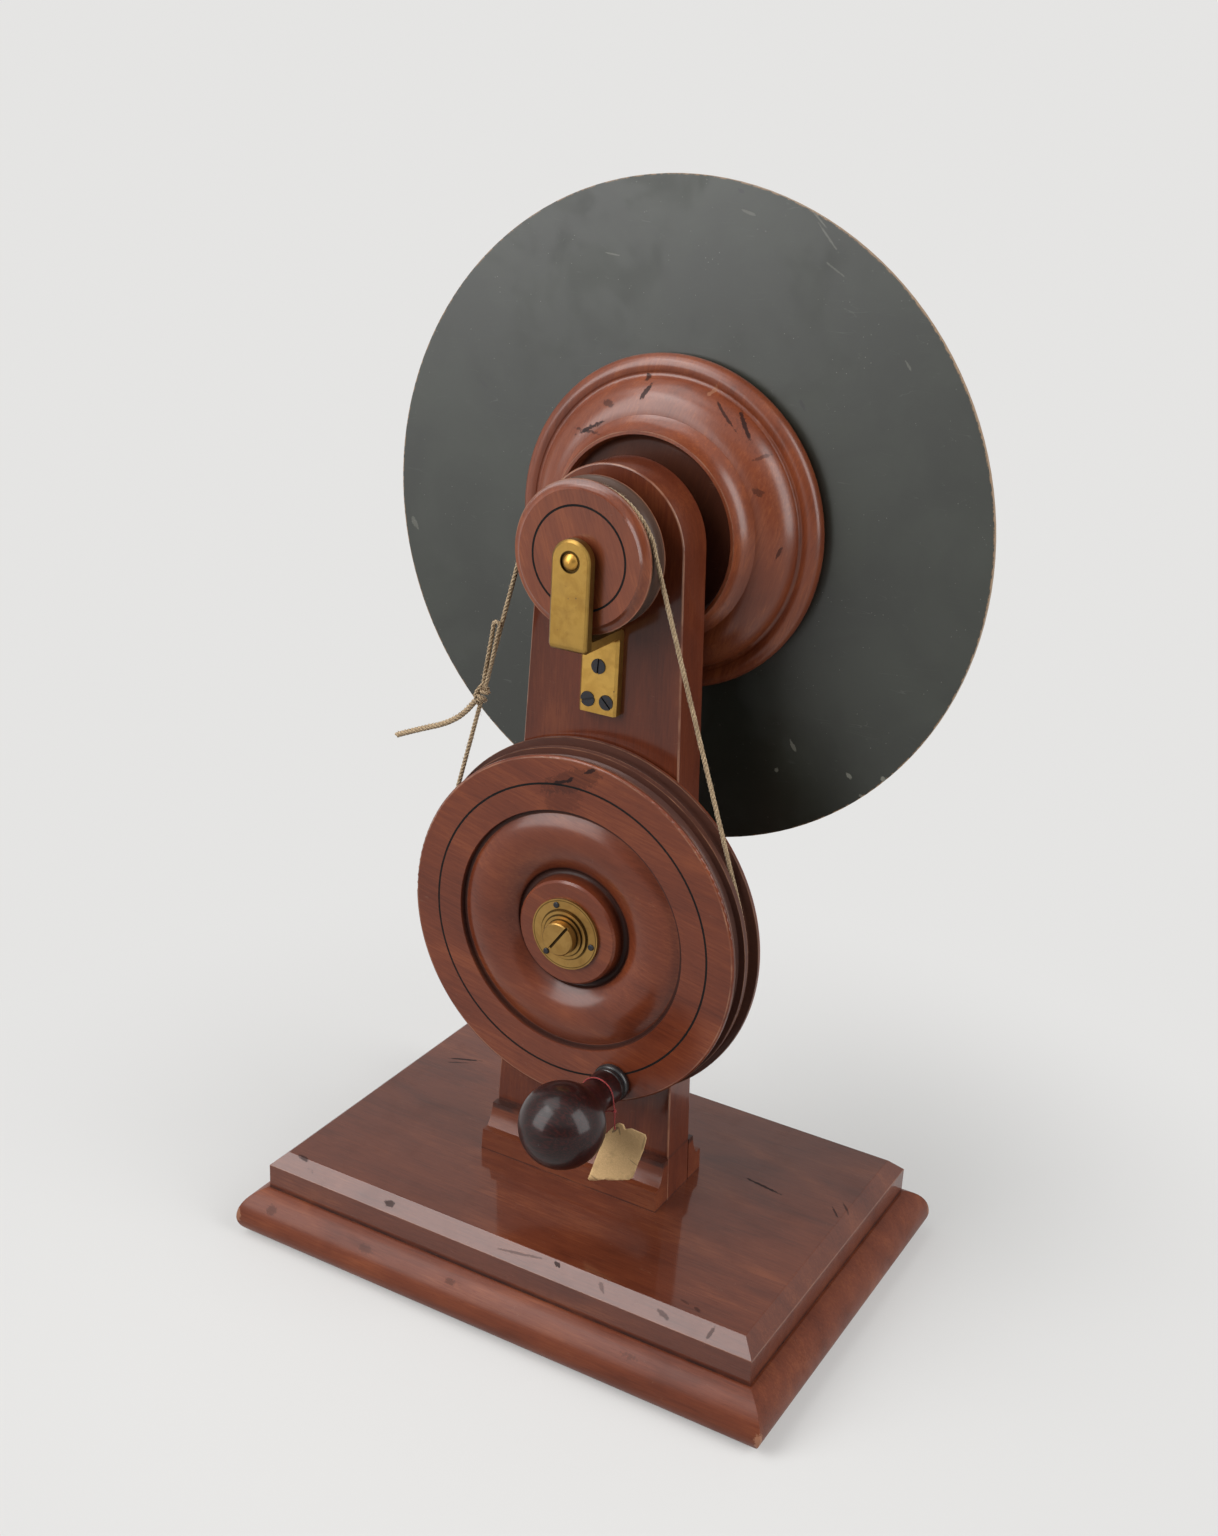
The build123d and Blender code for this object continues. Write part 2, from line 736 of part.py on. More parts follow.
with BuildPart() as hub_flange:
    with BuildSketch(spindle_section):
        with BuildLine():
            Polyline(
                bead_end,
                (hub_rear, spindle_radius + fit_gap),
                (hub_floor, spindle_radius + fit_gap),
                (hub_floor, hub_dish_radius - hub_dish_depth / 2),
            )
            TangentArc(
                (hub_floor, hub_dish_radius - hub_dish_depth / 2),
                (hub_front + hub_dish_lead, hub_dish_radius),
                tangent=(0, 1),
            )
            Polyline(
                (hub_front + hub_dish_lead, hub_dish_radius),
                (hub_front, hub_lip_radius - hub_lip_width),
                (hub_front, hub_lip_radius),
            )
            SagittaArc((hub_front, hub_lip_radius), cove_end, -hub_cove_bow)
            SagittaArc(cove_end, swell_end, hub_swell_bow)
            SagittaArc(swell_end, bead_start, -hub_rim_cove_bow)
            ThreePointArc(bead_start, bead_middle, bead_end)
        make_face()
    revolve(axis=spindle_axis)
hub_flange.part.label = "hub_flange"
export_step(hub_flange.part, "parts/hub_flange.step")

# ---- Disc, coloured sectors, washer and nut ----
with BuildPart() as disc_board:
    with BuildSketch(spindle_section):
        ring(hub_rear, disc_rear, spindle_radius + fit_gap, disc_radius)
    revolve(axis=spindle_axis)
disc_board.part.label = "disc_board"
export_step(disc_board.part, "parts/disc_board.step")

sector_angle = 360 / sector_count
for index in range(sector_count):
    colour = sector_colours[index % len(sector_colours)]
    node_name = f"sector_{index + 1}_{colour}"
    outer = disc_radius - sector_margin
    start = radians(90 - index * sector_angle)
    middle = radians(90 - (index + 0.5) * sector_angle)
    end = radians(90 - (index + 1) * sector_angle)
    shift_x = sector_gap * cos(middle)
    shift_z = sector_gap * sin(middle)
    with BuildPart() as colour_sector:
        with BuildSketch(front_plane(disc_rear + sector_thickness)):
            with BuildLine(Plane.XY.move(Location((shift_x, shift_z + spindle_height, 0)))):
                corner = [
                    (radius * cos(angle), radius * sin(angle))
                    for radius, angle in (
                        (sector_inner_radius, start),
                        (outer, start),
                        (outer, middle),
                        (outer, end),
                        (sector_inner_radius, end),
                        (sector_inner_radius, middle),
                    )
                ]
                Line(corner[0], corner[1])
                ThreePointArc(corner[1], corner[2], corner[3])
                Line(corner[3], corner[4])
                ThreePointArc(corner[4], corner[5], corner[0])
            make_face()
        extrude(amount=sector_thickness)
    colour_sector.part.label = node_name
    export_step(colour_sector.part, f"parts/{node_name}.step")

with BuildPart() as disc_washer:
    with BuildSketch(spindle_section):
        ring(
            disc_rear, disc_rear + disc_washer_thickness, spindle_radius + fit_gap, disc_washer_radius
        )
    revolve(axis=spindle_axis)
disc_washer.part.label = "disc_washer"
export_step(disc_washer.part, "parts/disc_washer.step")

with BuildPart() as disc_nut:
    with BuildSketch(front_plane(clamp_rear)):
        with Locations((0, spindle_height)):
            RegularPolygon(disc_nut_radius, 6, major_radius=False)
            Circle(spindle_radius + fit_gap, mode=Mode.SUBTRACT)
    extrude(amount=disc_nut_thickness)
disc_nut.part.label = "disc_nut"
export_step(disc_nut.part, "parts/disc_nut.step")

# ---- Drive wheel ----
belt_groove_radius = wheel_pitch_radius - cord_radius - cord_gap
ridge_front = wheel_groove_front - wheel_ridge_width
idle_groove_front = ridge_front - idle_groove_width
idle_groove_radius = wheel_front_radius - idle_groove_depth
torus_foot_y = wheel_front + quirk_depth
torus_root_y = wheel_front + torus_drop

with BuildPart() as drive_wheel:
    with BuildSketch(wheel_section):
        with BuildLine():
            Polyline(
                (boss_front + wheel_arris, boss_radius),
                (boss_front, boss_radius - wheel_arris),
                (boss_front, wheel_bush_radius + fit_gap),
                (wheel_rear, wheel_bush_radius + fit_gap),
                (wheel_rear, wheel_rear_radius),
                (wheel_groove_rear, wheel_rear_radius),
                (wheel_groove_rear, belt_groove_radius + belt_groove_width / 2),
            )
            ThreePointArc(
                (wheel_groove_rear, belt_groove_radius + belt_groove_width / 2),
                (wheel_belt_y, belt_groove_radius),
                (wheel_groove_front, belt_groove_radius + belt_groove_width / 2),
            )
            Polyline(
                (wheel_groove_front, belt_groove_radius + belt_groove_width / 2),
                (wheel_groove_front, wheel_ridge_radius),
                (ridge_front, wheel_ridge_radius),
                (ridge_front, wheel_front_radius - idle_groove_depth / 2),
            )
            ThreePointArc(
                (ridge_front, wheel_front_radius - idle_groove_depth / 2),
                ((ridge_front + idle_groove_front) / 2, idle_groove_radius),
                (idle_groove_front, wheel_front_radius - idle_groove_depth / 2),
            )
            Polyline(
                (idle_groove_front, wheel_front_radius - idle_groove_depth / 2),
                (idle_groove_front, wheel_front_radius),
                (wheel_front + wheel_arris, wheel_front_radius),
            )
            TangentArc(
                (wheel_front + wheel_arris, wheel_front_radius),
                (wheel_front, wheel_front_radius - wheel_arris),
                tangent=(-1, 0),
            )
            Polyline(
                (wheel_front, wheel_front_radius - wheel_arris),
                (wheel_front, quirk_radius),
                (torus_foot_y, quirk_radius - quirk_slope),
                (torus_foot_y, torus_outer_radius),
            )
            SagittaArc((torus_foot_y, torus_outer_radius), (torus_root_y, torus_inner_radius), -torus_rise)
            SagittaArc(
                (torus_root_y, torus_inner_radius),
                (torus_root_y, boss_radius + boss_foot_flare),
                boss_groove_bow,
            )
            Line((torus_root_y, boss_radius + boss_foot_flare), (boss_front + wheel_arris, boss_radius))
        make_face()
        with Locations((wheel_front, wheel_ring_radius)):
            Rectangle(2 * ring_inlay_depth, ring_inlay_width + 2 * fit_gap, mode=Mode.SUBTRACT)
    revolve(axis=wheel_axis)
    with BuildSketch(front_plane(wheel_front)):
        with Locations((crank_x, crank_z)):
            Circle(handle_pin_radius + fit_gap)
    extrude(amount=-wheel_thickness, mode=Mode.SUBTRACT)
    with BuildSketch(front_plane(wheel_rear - handle_pin_head_thickness - 2 * face_gap)):
        with Locations((crank_x, crank_z)):
            Circle(handle_pin_head_radius + face_gap)
    extrude(amount=-handle_pin_head_thickness - 2 * face_gap, mode=Mode.SUBTRACT)
    with BuildSketch(front_plane(boss_front)):
        with Locations((0, wheel_height)):
            with PolarLocations(bush_screw_circle, 3, start_angle=bush_screw_start):
                Circle(bush_screw_radius + fit_gap)
    extrude(amount=-bush_screw_length, mode=Mode.SUBTRACT)
drive_wheel.part.label = "drive_wheel"
export_step(drive_wheel.part, "parts/drive_wheel.step")

with BuildPart() as wheel_inlay_ring:
    with BuildSketch(wheel_section):
        ring(
            wheel_front,
            wheel_front + ring_inlay_depth,
            wheel_ring_radius - ring_inlay_width / 2,
            wheel_ring_radius + ring_inlay_width / 2,
        )
    revolve(axis=wheel_axis)
    with BuildSketch(front_plane(wheel_front)):
        with Locations((crank_x, crank_z)):
            Circle(handle_pin_radius + face_gap)
    extrude(amount=-ring_inlay_depth, mode=Mode.SUBTRACT)
wheel_inlay_ring.part.label = "wheel_inlay_ring"
export_step(wheel_inlay_ring.part, "parts/wheel_inlay_ring.step")

with BuildPart() as wheel_bush:
    with BuildSketch(wheel_section):
        ring(bush_nose_front, wheel_rear, axle_radius + fit_gap, wheel_bush_radius)
        ring(plate_front, boss_front, wheel_bush_radius, bush_plate_radius)
        ring(plate_front - bush_step_rise, plate_front, wheel_bush_radius, bush_step_radius)
        ring(bush_nose_front, plate_front - bush_step_rise, wheel_bush_radius, bush_nose_radius)
    revolve(axis=wheel_axis)
    with BuildSketch(front_plane(plate_front)):
        with Locations((0, wheel_height)):
            with PolarLocations(bush_screw_circle, 3, start_angle=bush_screw_start):
                Circle(bush_screw_radius + fit_gap)
    extrude(amount=-bush_plate_thickness, mode=Mode.SUBTRACT)
wheel_bush.part.label = "wheel_bush"
export_step(wheel_bush.part, "parts/wheel_bush.step")

with BuildPart() as bush_screws:
    with BuildSketch(front_plane(plate_front)):
        with Locations((0, wheel_height)):
            with PolarLocations(bush_screw_circle, 3, start_angle=bush_screw_start):
                Circle(bush_screw_radius)
    extrude(amount=-bush_screw_length)
    with BuildSketch(front_plane(plate_front)):
        with Locations((0, wheel_height)):
            with PolarLocations(bush_screw_circle, 3, start_angle=bush_screw_start):
                Circle(bush_screw_head_radius)
    extrude(amount=bush_screw_head_rise)
    fillet(bush_screws.edges().group_by(Axis.Y)[0], bush_screw_head_round)
bush_screws.part.label = "bush_screws"
export_step(bush_screws.part, "parts/bush_screws.step")

axle_head_rear = bush_nose_front - face_gap
axle_head_front = axle_head_rear - axle_head_height
with BuildPart() as wheel_axle:
    with BuildSketch(wheel_section):
        ring(axle_head_rear, upright_front, 0, axle_radius)
        ring(axle_head_front, axle_head_rear, 0, axle_head_radius)
        ring(upright_front, upright_front + axle_thread_length, 0, axle_thread_radius)
    revolve(axis=wheel_axis)
    chamfer(wheel_axle.edges().group_by(Axis.Y)[0], axle_head_chamfer)
    with BuildSketch(front_plane(axle_head_front)):
        with Locations(Location((0, wheel_height, 0), (0, 0, axle_slot_angle))):
            Rectangle(2 * axle_head_radius + 1, axle_slot_width)
    extrude(amount=-axle_slot_depth, mode=Mode.SUBTRACT)
wheel_axle.part.label = "wheel_axle"
export_step(wheel_axle.part, "parts/wheel_axle.step")

with BuildPart() as thrust_washer:
    with BuildSketch(wheel_section):
        ring(
            upright_front - thrust_washer_thickness,
            upright_front,
            axle_radius + fit_gap,
            thrust_washer_radius,
        )
    revolve(axis=wheel_axis)
thrust_washer.part.label = "thrust_washer"
export_step(thrust_washer.part, "parts/thrust_washer.step")

# ---- Handle: collar on the wheel, pin that turns with the grip ----
collar_step = wheel_front - collar_bead_length
with BuildPart() as handle_collar:
    with BuildSketch(crank_section):
        with BuildLine():
            Polyline(
                (collar_step, collar_nose_radius),
                (collar_front + collar_round, collar_nose_radius),
                (collar_front, collar_nose_radius - collar_round),
                (collar_front, handle_pin_radius + fit_gap),
                (wheel_front, handle_pin_radius + fit_gap),
                (wheel_front, collar_radius - collar_round),
            )
            ThreePointArc(
                (wheel_front, collar_radius - collar_round),
                ((wheel_front + collar_step) / 2, collar_radius),
                (collar_step, collar_radius - collar_round),
            )
            Line((collar_step, collar_radius - collar_round), (collar_step, collar_nose_radius))
        make_face()
    revolve(axis=crank_axis)
handle_collar.part.label = "handle_collar"
export_step(handle_collar.part, "parts/handle_collar.step")

pin_head_rear = wheel_rear - face_gap
pin_head_front = pin_head_rear - handle_pin_head_thickness
with BuildPart() as handle_pin:
    with BuildSketch(crank_section):
        ring(pin_head_front, pin_head_rear, 0, handle_pin_head_radius)
        ring(grip_root - handle_pin_bite, pin_head_front, 0, handle_pin_radius)
    revolve(axis=crank_axis)
handle_pin.part.label = "handle_pin"
export_step(handle_pin.part, "parts/handle_pin.step")

bulb_y = grip_end + grip_bulb_radius
bulb_join_angle = radians(grip_bulb_join_angle)
bulb_join = (
    bulb_y + grip_bulb_radius * sin(bulb_join_angle),
    grip_bulb_radius * cos(bulb_join_angle),
)
bulb_middle_angle = radians(grip_bulb_middle_angle)
bulb_middle = (
    bulb_y - grip_bulb_radius * sin(bulb_middle_angle),
    grip_bulb_radius * cos(bulb_middle_angle),
)
with BuildPart() as handle_grip:
    with BuildSketch(crank_section):
        with BuildLine():
            Polyline(
                (grip_end, 0),
                (grip_root - handle_pin_bite - fit_gap, 0),
                (grip_root - handle_pin_bite - fit_gap, handle_pin_radius + fit_gap),
                (grip_root, handle_pin_radius + fit_gap),
                (grip_root, grip_root_radius),
            )
            neck = (grip_root - grip_neck_offset, grip_neck_radius)
            SagittaArc((grip_root, grip_root_radius), neck, -grip_neck_bow)
            Spline(neck, bulb_join, tangents=((-1, 0.02), (-cos(bulb_join_angle), sin(bulb_join_angle))))
            ThreePointArc(
                bulb_join,
                bulb_middle,
                (grip_end, 0),
            )
        make_face()
    revolve(axis=crank_axis)
handle_grip.part.label = "handle_grip"
export_step(handle_grip.part, "parts/handle_grip.step")

# ---- Tag and thread: the thread's loop hangs on the neck, its knot to the right ----
loop_radius = grip_neck_radius + thread_gap + thread_radius
knot_x = crank_x + thread_knot_x
knot_z = crank_z + thread_knot_z
hole_x = crank_x + tag_hole_x
hole_z = crank_z + tag_hole_z
tag_rear = tag_y + 2 * thread_radius + tag_thickness
thread_knot_angle = atan2(thread_knot_z, thread_knot_x)
loop_spread = acos(loop_radius / hypot(thread_knot_x, thread_knot_z))


def on_loop(angle):
    return Vector(crank_x + loop_radius * cos(angle), tag_y, crank_z + loop_radius * sin(angle))


thread_knot = Vector(knot_x, tag_y, knot_z)
loop_right = on_loop(thread_knot_angle + loop_spread)
loop_under = on_loop(thread_knot_angle - loop_spread)
loop_top = on_loop(thread_knot_angle + radians(180))
right_start = thread_knot + (loop_right - thread_knot).normalized() * (thread_knot_radius - thread_knot_bite)
under_end = thread_knot + (loop_under - thread_knot).normalized() * (thread_knot_radius - thread_knot_bite)
tag_hole = Vector(hole_x, tag_y, hole_z)

with BuildPart() as tag_thread:
    with BuildLine() as loop_path:
        Line(right_start, loop_right)
        ThreePointArc(loop_right, loop_top, loop_under)
        Line(loop_under, under_end)
    with BuildSketch(Plane(origin=right_start, z_dir=loop_right - right_start)):
        Circle(thread_radius)
    sweep(path=loop_path.wires()[0])
    with BuildSketch(Plane(origin=thread_knot, z_dir=tag_hole - thread_knot)):
        Circle(thread_radius)
    extrude(amount=(tag_hole - thread_knot).length)
    with BuildSketch(front_plane(tag_y)):
        with Locations((hole_x, hole_z)):
            Circle(thread_radius)
    extrude(amount=-2 * thread_radius - tag_thickness)
    with Locations(thread_knot):
        Sphere(thread_knot_radius)
    with Locations(tag_hole):
        Sphere(thread_stop_radius)
tag_thread.part.label = "tag_thread"
export_step(tag_thread.part, "parts/tag_thread.step")

tag_corners = [
    (crank_x + x, crank_z + z)
    for x, z in (
        (-2.1, -46.9),
        (8.6, -42.6),
        (19.4, -37.6),
        (22.8, -31.6),
        (26.6, -14.4),
        (24.4, -12.2),
        (15.6, -12.6),
        (14.4, -13.6),
        (13.8, -12.0),
        (10.9, -11.2),
        (6.2, -17.0),
        (4.2, -19.0),
    )
]
with BuildPart() as paper_tag:
    with BuildSketch(front_plane(tag_rear)) as tag_outline:
        with BuildLine():
            Polyline(*tag_corners, close=True)
        make_face()
        side_corners = tag_outline.vertices().sort_by(Axis.X)
        fillet([side_corners[0], side_corners[-1]], tag_corner_radius)
        with Locations((hole_x, hole_z)):
            Circle(tag_hole_radius, mode=Mode.SUBTRACT)
    extrude(amount=tag_thickness)
paper_tag.part.label = "paper_tag"
export_step(paper_tag.part, "parts/paper_tag.step")

# ---- Twine belt: one open length whose two ends meet in the knot on the left run ----
belt_slope = asin((wheel_pitch_radius - pulley_pitch_radius) / axle_distance)
run_up = Vector(sin(belt_slope), 0, cos(belt_slope))


def tangent_point(side, pitch_radius, y, height):
    """Where a run leaves its groove, on the -X side or the +X side."""
    return Vector(
        side * pitch_radius * cos(belt_slope), y, height + pitch_radius * sin(belt_slope)
    )


def run_points(side):
    """One run from the pulley down to the wheel: short leads, then a slant between the grooves."""
    down = Vector(side * sin(belt_slope), 0, -cos(belt_slope))
    top = tangent_point(side, pulley_pitch_radius, pulley_belt_y, spindle_height)
    bottom = tangent_point(side, wheel_pitch_radius, wheel_belt_y, wheel_height)
    return (top, top + down * run_lead, bottom - down * run_lead, bottom)


left_top, left_high, left_low, left_bottom = run_points(-1)
right_top, right_high, right_low, right_bottom = run_points(1)
knot_share = (left_high.Z - knot_height) / (left_high.Z - left_low.Z)
knot_centre = left_high + (left_low - left_high) * knot_share
knot_direction = (left_high - left_low).normalized()
upper_end = knot_centre + knot_direction * (knot_length / 2 - cord_end_bite)
lower_end = knot_centre - knot_direction * (knot_length / 2 - cord_end_bite)
lead_turn = knot_direction.get_angle(run_up)
lead_radius = bend_share * run_lead / tan(radians(lead_turn / 2))

with BuildPart() as drive_cord:
    with BuildLine() as belt_path:
        FilletPolyline(upper_end, left_high, left_top, radius=lead_radius)
        ThreePointArc(
            left_top, (0, pulley_belt_y, spindle_height + pulley_pitch_radius), right_top
        )
        FilletPolyline(right_top, right_high, right_low, right_bottom, radius=lead_radius)
        ThreePointArc(
            right_bottom, (0, wheel_belt_y, wheel_height - wheel_pitch_radius), left_bottom
        )
        FilletPolyline(left_bottom, left_low, lower_end, radius=lead_radius)
    with BuildSketch(Plane(origin=upper_end, z_dir=knot_direction)):
        Circle(cord_radius)
    sweep(path=belt_path.wires()[0])
drive_cord.part.label = "drive_cord"
export_step(drive_cord.part, "parts/drive_cord.step")
belt_length = belt_path.wires()[0].length
print(f"belt: length {belt_length:.1f}, lead bends {lead_radius:.1f}, ratio "
      f"{wheel_pitch_radius / pulley_pitch_radius:.4f}, volume ratio "
      f"{drive_cord.part.volume / (belt_length * pi * cord_radius**2):.4f}")

with BuildPart(Plane(origin=knot_centre, z_dir=knot_direction)) as cord_knot:
    Cylinder(knot_radius, knot_length)
    fillet(cord_knot.edges().filter_by(GeomType.CIRCLE), knot_end_round)
cord_knot.part.label = "cord_knot"
export_step(cord_knot.part, "parts/cord_knot.step")


def beside_knot(along, left, depth):
    """A point by the knot: along the run upwards, to the -X side, and towards +Y."""
    sideways = knot_direction.cross(Vector(0, 1, 0)).normalized()
    return knot_centre + knot_direction * along + sideways * left + Vector(0, depth, 0)


def free_cord(name, points):
    """A tube along straight runs and the largest tangent arcs that they allow."""
    runs = [(b - a).length for a, b in zip(points, points[1:])]
    turns = [
        (b - a).get_angle(c - b) for a, b, c in zip(points, points[1:], points[2:])
    ]
    radii = [
        bend_share * min(before, after) / tan(radians(turn / 2))
        for before, after, turn in zip(runs, runs[1:], turns)
    ]
    with BuildPart() as cord:
        with BuildLine() as route:
            FilletPolyline(*points, radius=radii)
        path = route.wires()[0]
        with BuildSketch(Plane(origin=path @ 0, z_dir=path % 0)):
            Circle(cord_radius)
        sweep(path=path)
    length = path.length
    volume_ratio = cord.part.volume / (length * pi * cord_radius**2)
    print(name, f"length {length:.1f}", "radii", [round(radius, 1) for radius in radii],
          f"volume ratio {volume_ratio:.4f}")
    return cord


bow_points = [
    beside_knot(2.6, 2.3, -0.4),
    beside_knot(12.8, 3.7, -0.9),
    beside_knot(23.6, 4.5, -1.3),
    beside_knot(31.8, 4.5, -1.8),
    beside_knot(36.6, 4.2, -2.2),
    beside_knot(36.8, -0.1, -2.5),
    beside_knot(32.2, -0.3, -2.4),
    beside_knot(24.0, 0.1, -2.4),
    beside_knot(13.2, -0.1, -2.5),
    beside_knot(2.8, 0.5, -2.3),
]
cord_bow = free_cord("cord_bow", bow_points)
cord_bow.part.label = "cord_bow"
export_step(cord_bow.part, "parts/cord_bow.step")

tail_points = [
    beside_knot(-1.0, 2.3, 0),
    knot_centre + Vector(-9.7, 0.2, -10.5),
    knot_centre + Vector(-20.7, -0.3, -19.2),
    knot_centre + Vector(-36.5, -0.1, -26.1),
    knot_centre + Vector(-48.8, 0.4, -32.9),
]
cord_tail = free_cord("cord_tail", tail_points)
cord_tail.part.label = "cord_tail"
export_step(cord_tail.part, "parts/cord_tail.step")
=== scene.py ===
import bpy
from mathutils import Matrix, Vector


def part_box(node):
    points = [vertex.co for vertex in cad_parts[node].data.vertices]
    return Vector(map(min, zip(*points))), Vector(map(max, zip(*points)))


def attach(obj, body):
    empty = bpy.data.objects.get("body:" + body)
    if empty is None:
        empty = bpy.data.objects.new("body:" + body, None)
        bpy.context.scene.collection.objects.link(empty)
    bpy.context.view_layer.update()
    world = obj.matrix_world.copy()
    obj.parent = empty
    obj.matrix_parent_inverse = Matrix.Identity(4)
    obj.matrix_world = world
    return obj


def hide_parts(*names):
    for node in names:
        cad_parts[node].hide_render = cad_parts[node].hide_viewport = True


bl_info = {
    "name": "Colour disc apparatus",
    "version": (1, 0, 0),
    "blender": (4, 5, 0),
    "location": "View3D > Sidebar > Colour Disc",
    "description": "Dresses a hand-cranked colour-mixing disc: polished wood, brass, twine and paper",
    "category": "Object",
}

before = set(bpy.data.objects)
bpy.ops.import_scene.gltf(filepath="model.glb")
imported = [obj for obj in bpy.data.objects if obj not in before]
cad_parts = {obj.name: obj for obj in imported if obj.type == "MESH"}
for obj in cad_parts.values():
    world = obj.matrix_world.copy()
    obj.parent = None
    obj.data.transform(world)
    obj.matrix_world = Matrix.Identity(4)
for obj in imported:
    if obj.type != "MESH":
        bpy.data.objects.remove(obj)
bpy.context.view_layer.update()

import random
from functools import reduce
from math import asin, cos, pi, radians, sin

import bmesh
import bpy
from bpy.props import FloatProperty, FloatVectorProperty, IntProperty, PointerProperty
from mathutils import Matrix, Vector
from mathutils.kdtree import KDTree

MM = 0.001

# Places on the apparatus, in millimetres
SPINDLE_HEIGHT = 359.0
WHEEL_HEIGHT = 182.5
CRANK_X = 27.96
CRANK_Z = 113.99
UPRIGHT_FRONT = -12.0
WHEEL_FRONT = -33.7
DISC_NEAR_FACE = 46.0
TAG_FRONT = -47.0
THREAD_FRONT = -48.0
DISC_RADIUS = 152.0
PULLEY_PITCH_RADIUS = 31.8
WHEEL_PITCH_RADIUS = 82.6
PULLEY_BELT_Y = -29.0
WHEEL_BELT_Y = -18.2
RUN_LEAD = 6.0
KNOT_SHARE = 0.515
KNOT_HALF_LENGTH = 5.0
TWINE_RADIUS = 1.0
TAIL_RADIUS = 1.45
BELT_FORWARD = 4.0
UPRIGHT_HEAD_RADIUS = 36.4
UPRIGHT_TAPER = 0.0417

# The angle, in radians, by which a straight run of the belt leans outwards
RUN_SLOPE = asin((WHEEL_PITCH_RADIUS - PULLEY_PITCH_RADIUS) / (SPINDLE_HEIGHT - WHEEL_HEIGHT))

# The knot's wraps, in turns, steps and millimetres, and how far the belt's ends reach into it
KNOT_TURNS = 3.3
KNOT_STEPS = 96
KNOT_LOW = -7.4
KNOT_LENGTH = 8.6
KNOT_RADIUS = 1.95
KNOT_OVERLAP = 0.6

# The steps along a twine and a yarn's radius as a share of its twine's
TWINE_STEP = 0.55
YARN_SHARE = 0.56
HAIR_RADIUS = 0.055
TAG_CUTS = 16
TAG_THICKNESS = 0.28

# In metres
FLOOR_HALF_WIDTH = 14.0

# Mahogany's dark for soiled marks and for painted shade at its joins and foot, its pale for polish
# rubbed through and for a painted highlight along its edges, and its colour where it is scratched
SOIL_AND_SHADE = (0.020, 0.0095, 0.0085)
RUBBED_AND_HIGHLIGHT = (0.32, 0.155, 0.092)
SCRATCHED = (0.19, 0.085, 0.05)


# ---------------------------------------------------------------- settings
def colour_property(name, description, default):
    return FloatVectorProperty(
        name=name, description=description, subtype="COLOR", size=3, min=0, max=1, default=default
    )


class WoodSettings(bpy.types.PropertyGroup):
    dark: colour_property("Dark", "Darkest streaks of the mahogany", (0.080, 0.0185, 0.0086))
    middle: colour_property("Middle", "Main colour of the mahogany", (0.124, 0.0300, 0.0128))
    light: colour_property("Light", "Lightest streaks of the mahogany", (0.182, 0.0500, 0.0195))
    polish: FloatProperty(
        name="Polish", description="Strength of the French polish", default=0.62, min=0, max=1
    )


class TwineSettings(bpy.types.PropertyGroup):
    colour: colour_property("Colour", "Straw colour of the hemp twine", (0.58, 0.43, 0.26))
    strands: IntProperty(name="Strands", description="Yarns laid together", default=3, min=2, max=5)
    lay: FloatProperty(
        name="Lay",
        description="Length of one full turn of the yarns",
        subtype="DISTANCE",
        default=6.5 * MM,
        min=2 * MM,
        max=20 * MM,
    )
    fuzz: IntProperty(name="Fuzz", description="Loose fibres along the belt", default=420, min=0)


class StageSettings(bpy.types.PropertyGroup):
    floor: colour_property("Floor", "Pale studio floor", (0.66, 0.655, 0.645))
    backdrop: colour_property("Backdrop", "Pale wall behind the floor", (0.785, 0.780, 0.770))
    air: FloatProperty(
        name="Air", description="Strength of the light from all round", default=0.32, min=0, max=2
    )
    studio: FloatProperty(
        name="Studio", description="Brightness of the dim room behind the camera", default=0.22, min=0
    )
    ceiling: FloatProperty(
        name="Ceiling", description="Brightness of the white ceiling over the front", default=1.12, min=0
    )
    lens: FloatProperty(name="Lens", description="Focal length in mm", default=42.95, min=20)
    azimuth: FloatProperty(
        name="Azimuth", description="Camera turn", subtype="ANGLE", default=radians(29.092)
    )
    elevation: FloatProperty(
        name="Elevation", description="Camera height angle", subtype="ANGLE", default=radians(21.317)
    )
    roll: FloatProperty(
        name="Roll", description="Camera roll", subtype="ANGLE", default=radians(2.949)
    )
    distance: FloatProperty(
        name="Distance", description="Camera to target", subtype="DISTANCE", default=821.7 * MM
    )
    target: FloatVectorProperty(
        name="Target",
        description="Point that the camera looks at",
        subtype="XYZ",
        default=(6.84 * MM, -14.84 * MM, 258.96 * MM),
    )


